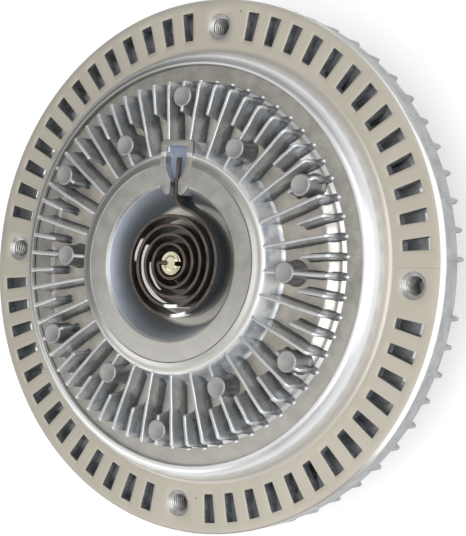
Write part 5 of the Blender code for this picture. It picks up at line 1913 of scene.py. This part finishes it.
@dataclass
class BallBearing:
    """The bearing's rings and shields as they show from behind.

    The rings' shoulders stand away from the balls' path by lip times the balls' radius.
    """

    bottom: float = 20.4
    top: float = 32.4
    middle: float = 26.4
    path: float = 18.15
    ball: float = 3.6
    groove: float = 3.95
    lip: float = 0.58

    def race(self, name: str, shoulder: float, back: float) -> bpy.types.Object:
        """A ring whose groove is an arc about the balls' path.

        Args:
            name: the piece's name.
            shoulder: the radius of its inner or outer face beside the groove.
            back: the radius of its seat.

        Returns:
            The object.
        """
        reach = abs(shoulder - self.path)
        limit = math.atan2(math.sqrt(self.groove**2 - reach**2), reach)
        way = 1.0 if shoulder > self.path else -1.0
        angle = np.linspace(-limit, limit, 17)
        radii = self.path + way * self.groove * np.cos(angle)
        heights = self.middle + self.groove * np.sin(angle)
        low, high, bevel, corner = self.bottom, self.top, way * 0.2, way * 0.35
        start = [(shoulder, low + 0.2), (shoulder, low + 0.21)]
        ends = [(shoulder, high - 0.2), (shoulder + bevel, high), (back - corner, high), (back, high - 0.35)]
        ends += [(back, low + 0.35), (back - corner, low), (shoulder + bevel, low)]
        return turned_piece(name, np.concatenate([start, np.column_stack([radii, heights]), ends]), 120)

    def shield(self, name: str, side: int) -> bpy.types.Object:
        """A pressed shield with a shallow rolled channel, between the rings.

        Args:
            name: the piece's name.
            side: 1 at the front and -1 at the back.

        Returns:
            The object.
        """
        edge = self.top if side > 0 else self.bottom
        inner, outer = self.path - self.ball * self.lip + 0.35, self.path + self.ball * self.lip - 0.35
        depths = [(outer, 0.05), (outer - 0.5, 0.0), (outer - 0.9, 0.18), (inner + 0.9, 0.18)]
        depths += [(inner + 0.5, 0.02), (inner, 0.08), (inner, 0.55), (outer, 0.55)]
        profile = softened([(r, edge - side * depth) for r, depth in depths], 0.12, 2)
        return turned_piece(name, profile, 120)

    def snap_ring(self) -> bpy.types.Object:
        """The open snap ring in the bore's groove: a rounded section carried round 330 degrees.

        Returns:
            The object.
        """
        section = softened([(25.1, 18.9), (25.1, 20.05), (21.9, 20.05), (21.9, 18.9)], 0.18)
        angle = np.radians(np.linspace(15, 345, 111))[:, None]
        work = Patchwork("bearing_snap_ring")
        work.add_stack(around(section[:, 0], angle, section[:, 1]))
        return work.to_object(40)


# The studio


@dataclass
class Studio:
    """The camera at the photograph's angle, the pale floor and the soft lights.

    The camera's turn and shift are the rotation vector and the offset that were fitted to the
    photograph, in units of which units_per_mm make a millimetre, and roll turns the clutch under it.
    The tent is brighter near the floor, and tent_shade dimmer on shade_side.
    """

    focal_pixels: float = 1480.252901
    width: int = 466
    height: int = 536
    units_per_mm: float = 1.014530
    turn: Sequence[float] = (-0.058340762, 0.582064782, -0.059427996)
    shift: Sequence[float] = (-12.434305, -1.017715, 535.033379)
    roll: float = -0.152142292
    sensor: float = 36.0
    floor_half: float = 4000.0
    aim: Sequence[float] = (0.0, 0.0, 0.04)
    tent_tones: Sequence[Span] = ((0.0, 0.72), (0.35, 0.64), (0.62, 0.38), (1.0, 0.32))
    tent_tint: Color = (0.97, 0.985, 1.0)
    tent_shade: float = 0.4
    shade_side: float = math.radians(125)

    def camera(self) -> None:
        """Places the camera that the photograph was fitted with, from its rotation vector and shift."""
        vector = Vector(self.turn)
        to_camera = np.array(Matrix.Rotation(vector.length, 3, vector.normalized()))
        flip = np.diag([1.0, -1.0, -1.0])
        c, s = math.cos(self.roll), math.sin(self.roll)
        matrix = to_camera @ flip @ np.array([[c, -s, 0], [s, c, 0], [0, 0, 1]])
        place_mm = -matrix.T @ np.array(self.shift) / self.units_per_mm + (0, 0, FACE)
        world = Matrix((matrix.T @ flip).tolist()).to_4x4()
        world.translation = Vector(place_mm * MM)
        data = bpy.data.cameras.new("photo_camera")
        data.sensor_width = self.sensor
        data.lens = self.focal_pixels * data.sensor_width / max(self.width, self.height)
        camera = linked("photo_camera", data)
        camera.matrix_world = world
        bpy.context.scene.camera = camera

    def floor(self) -> None:
        """A plain pale floor."""
        work = Patchwork("floor")
        half = self.floor_half
        work.add_grid(np.array([[(x, y, 0.0) for x in (-half, half)] for y in (-half, half)]))
        floor = work.to_object()
        shader = Shader("floor_finish")
        clouds = shader.noise(400.0, 2.0)
        shader.feed("Base Color", shader.mix(clouds, (0.90, 0.90, 0.90), (0.93, 0.93, 0.93)))
        shader.set(Roughness=0.9, Emission_Strength=0.3, Emission_Color=(1.0, 1.0, 1.0, 1.0))
        floor.data.materials.append(shader.material)

    def light(
            self, name: str, spot: Sequence[float], size: Span, power: float,
            color: Color = (1, 1, 1)) -> None:
        """A rectangular soft light aimed at the clutch.

        Args:
            name: its name.
            spot: its place in metres.
            size: its width and height in metres.
            power: its power in watts.
            color: its colour.
        """
        data = bpy.data.lights.new(name, "AREA")
        data.shape, data.size, data.size_y = "RECTANGLE", size[0], size[1]
        data.energy, data.color = power, color
        light = linked(name, data)
        light.location = spot
        light.rotation_euler = (Vector(self.aim) - Vector(spot)).to_track_quat("-Z", "Y").to_euler()

    def tent(self) -> None:
        """The world as a pale tent: its walls are bright near the floor and dimmer overhead."""
        world = bpy.data.worlds.new("studio")
        bpy.context.scene.world = world
        world.use_nodes = True
        nodes = Nodes(world.node_tree)
        way = nodes.node("ShaderNodeTexCoord").outputs["Generated"]
        height = nodes.node("ShaderNodeSeparateXYZ", {}, {0: way}).outputs["Z"]
        stops = [(at, tuple(tone * part for part in self.tent_tint)) for at, tone in self.tent_tones]
        tones = nodes.node("ShaderNodeValToRGB", {"stops": stops}, {0: height})
        side = (self.tent_shade * math.cos(self.shade_side), self.tent_shade * math.sin(self.shade_side), 0)
        shade = nodes.node("ShaderNodeVectorMath", {"operation": "DOT_PRODUCT"}, {0: way, 1: side})
        inputs = {0: 1.0, 1: shade.outputs["Value"]}
        left = nodes.node("ShaderNodeMath", {"operation": "SUBTRACT", "use_clamp": True}, inputs)
        background = world.node_tree.nodes["Background"]
        nodes.link(tones.outputs["Color"], background.inputs["Color"])
        nodes.link(left.outputs[0], background.inputs["Strength"])

    def build(self) -> None:
        """Sets the whole studio."""
        self.camera()
        self.floor()
        self.tent()
        self.light("face_softbox", (-0.14, -0.04, 0.66), (0.8, 0.8), 1.3, (1.0, 0.985, 0.95))
        self.light("top_softbox", (0.48, 0.0, 1.2), (1.5, 0.6), 5.6)
        self.light("right_softbox", (1.35, 0.05, 0.85), (1.6, 1.3), 9.0, (0.98, 0.99, 1.0))
        self.light("front_softbox", (-0.79, -0.87, 0.55), (1.1, 0.6), 2.6)
        bpy.context.scene.view_settings.view_transform = "Standard"


# The CAD nodes that stay, and the order of building


@dataclass
class InnerWorks:
    """The CAD nodes that stay as they are, with the finish of each kind of piece."""

    steel: PlainMetal = PlainMetal("ball_steel", (0.62, 0.62, 0.63), (0.5, 0.5, 0.52), 0.12, 0.001)
    stamped: PlainMetal = PlainMetal("stamped_steel", (0.42, 0.42, 0.43), (0.30, 0.30, 0.31), 0.34, 0.006)
    screw: PlainMetal = PlainMetal("screw_steel", (0.45, 0.45, 0.46), (0.33, 0.33, 0.35), 0.3, 0.004)
    brass: PlainMetal = PlainMetal("cage_brass", (0.62, 0.50, 0.26), (0.5, 0.4, 0.2), 0.32, 0.004)
    rotor: TurnedMetal = TurnedMetal("rotor_turned", (0.66, 0.66, 0.65), (0.52, 0.52, 0.51), 0.3, 0.5, 0.004)
    rubber: Moulded = Moulded("black_rubber", (0.012, 0.012, 0.012), 0.55)
    nylon: Moulded = Moulded("pale_nylon", (0.56, 0.52, 0.40), 0.45)

    def dress(self, node: str, finish: Finish) -> None:
        """Gives a CAD node's object a finish.

        Args:
            node: the node's name.
            finish: the finish that makes its material.
        """
        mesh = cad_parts[node].data
        mesh.materials.clear()
        mesh.materials.append(finish.material())
        LOG.info("%s keeps its CAD shape", node)

    def build(self) -> None:
        """Dresses every node that stays."""
        rows = (("bearing_ball", 8, self.steel), ("plate_screw", 4, self.screw), ("wiper", 2, self.nylon))
        for stem, count, finish in rows:
            for index in range(count):
                self.dress(f"{stem}_{index + 1}", finish)
        for node, finish in (
                ("separator_plate", self.stamped), ("valve_arm", self.stamped),
                ("rotor_lock_ring", self.stamped), ("cover_gasket", self.rubber),
                ("control_shaft_seal", self.rubber), ("bearing_cage", self.brass),
                ("drive_rotor", self.rotor)):
            self.dress(node, finish)


def build_housing() -> None:
    """Builds the housing's body."""
    ring, housing = SlottedRing(), Housing()
    place(ring.build(), Body.HOUSING, RingFinish())
    place(ring.threads(), Body.HOUSING, ThreadFinish())
    place(housing.shoulder(), Body.HOUSING, ShoulderFinish())
    place(housing.casting(), Body.HOUSING, RearCasting(), ["clutch_body"])


def build_cover() -> None:
    """Builds the cover."""
    cover = Cover()
    place(cover.plate(), Body.HOUSING, FloorFinish())
    place(cover.fins(), Body.HOUSING, FinFinish())
    place(cover.pads(), Body.HOUSING, PadFinish())
    place(cover.hub(), Body.HOUSING, HubFinish(), ["front_cover"])


def build_coil() -> None:
    """Builds the coil, its hook and the post."""
    coil, hook = ThermoCoil().build()
    finish = StripFinish()
    place(coil, Body.HOUSING, finish, ["bimetal_coil"])
    hook.data.materials.append(finish.material())
    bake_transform(hook)
    LOG.info("%s bends between housing and control", hook.name)
    brass = PlainMetal("post_brass", (0.78, 0.74, 0.55), (0.66, 0.61, 0.42), 0.2, 0.003, 0.5)
    place(ControlShaft().build(), Body.CONTROL, brass, ["control_shaft"])
    washer = softened([(6.8, 51.7), (6.8, 52.2), (3.9, 52.2), (3.9, 51.7)], 0.12, 2)
    steel = PlainMetal("washer_steel", (0.5, 0.5, 0.5), (0.38, 0.38, 0.39), 0.3)
    place(turned_piece("coil_washer", washer, 72), Body.HOUSING, steel, ["thrust_washer"])


def build_shaft() -> None:
    """Builds the input shaft and the bearing's visible rings."""
    steel = TurnedMetal("hub_steel", (0.50, 0.50, 0.49), (0.38, 0.38, 0.38), 0.3, 0.3, 0.003, 0.4)
    place(InputShaft().build(), Body.INPUT, steel, ["input_shaft"])
    bearing = BallBearing()
    ground = TurnedMetal("race_steel", (0.62, 0.62, 0.63), (0.54, 0.54, 0.55), 0.14, 0.4, 0.001, 0.3)
    lip = bearing.ball * bearing.lip
    inner = bearing.race("inner_race", bearing.path - lip, 12.8)
    place(inner, Body.INPUT, ground, ["bearing_inner_race"])
    outer = bearing.race("outer_race", bearing.path + lip, 23.5)
    place(outer, Body.HOUSING, ground, ["bearing_outer_race"])
    rubber = Moulded("shield_rubber", (0.014, 0.014, 0.015), 0.45)
    place(bearing.shield("rear_shield", -1), Body.HOUSING, rubber, ["bearing_seal_rear"])
    place(bearing.shield("front_shield", 1), Body.HOUSING, rubber, ["bearing_seal_front"])
    clip = PlainMetal("clip_steel", (0.30, 0.30, 0.31), (0.22, 0.22, 0.23), 0.32)
    place(bearing.snap_ring(), Body.HOUSING, clip, ["bearing_clip"])


def main() -> None:
    """Builds every sub-assembly in order."""
    logging.basicConfig(level=logging.INFO, format="%(name)s: %(message)s")
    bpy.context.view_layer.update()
    Studio().build()
    build_housing()
    build_cover()
    build_coil()
    build_shaft()
    InnerWorks().build()


if __name__ == "__main__":
    main()
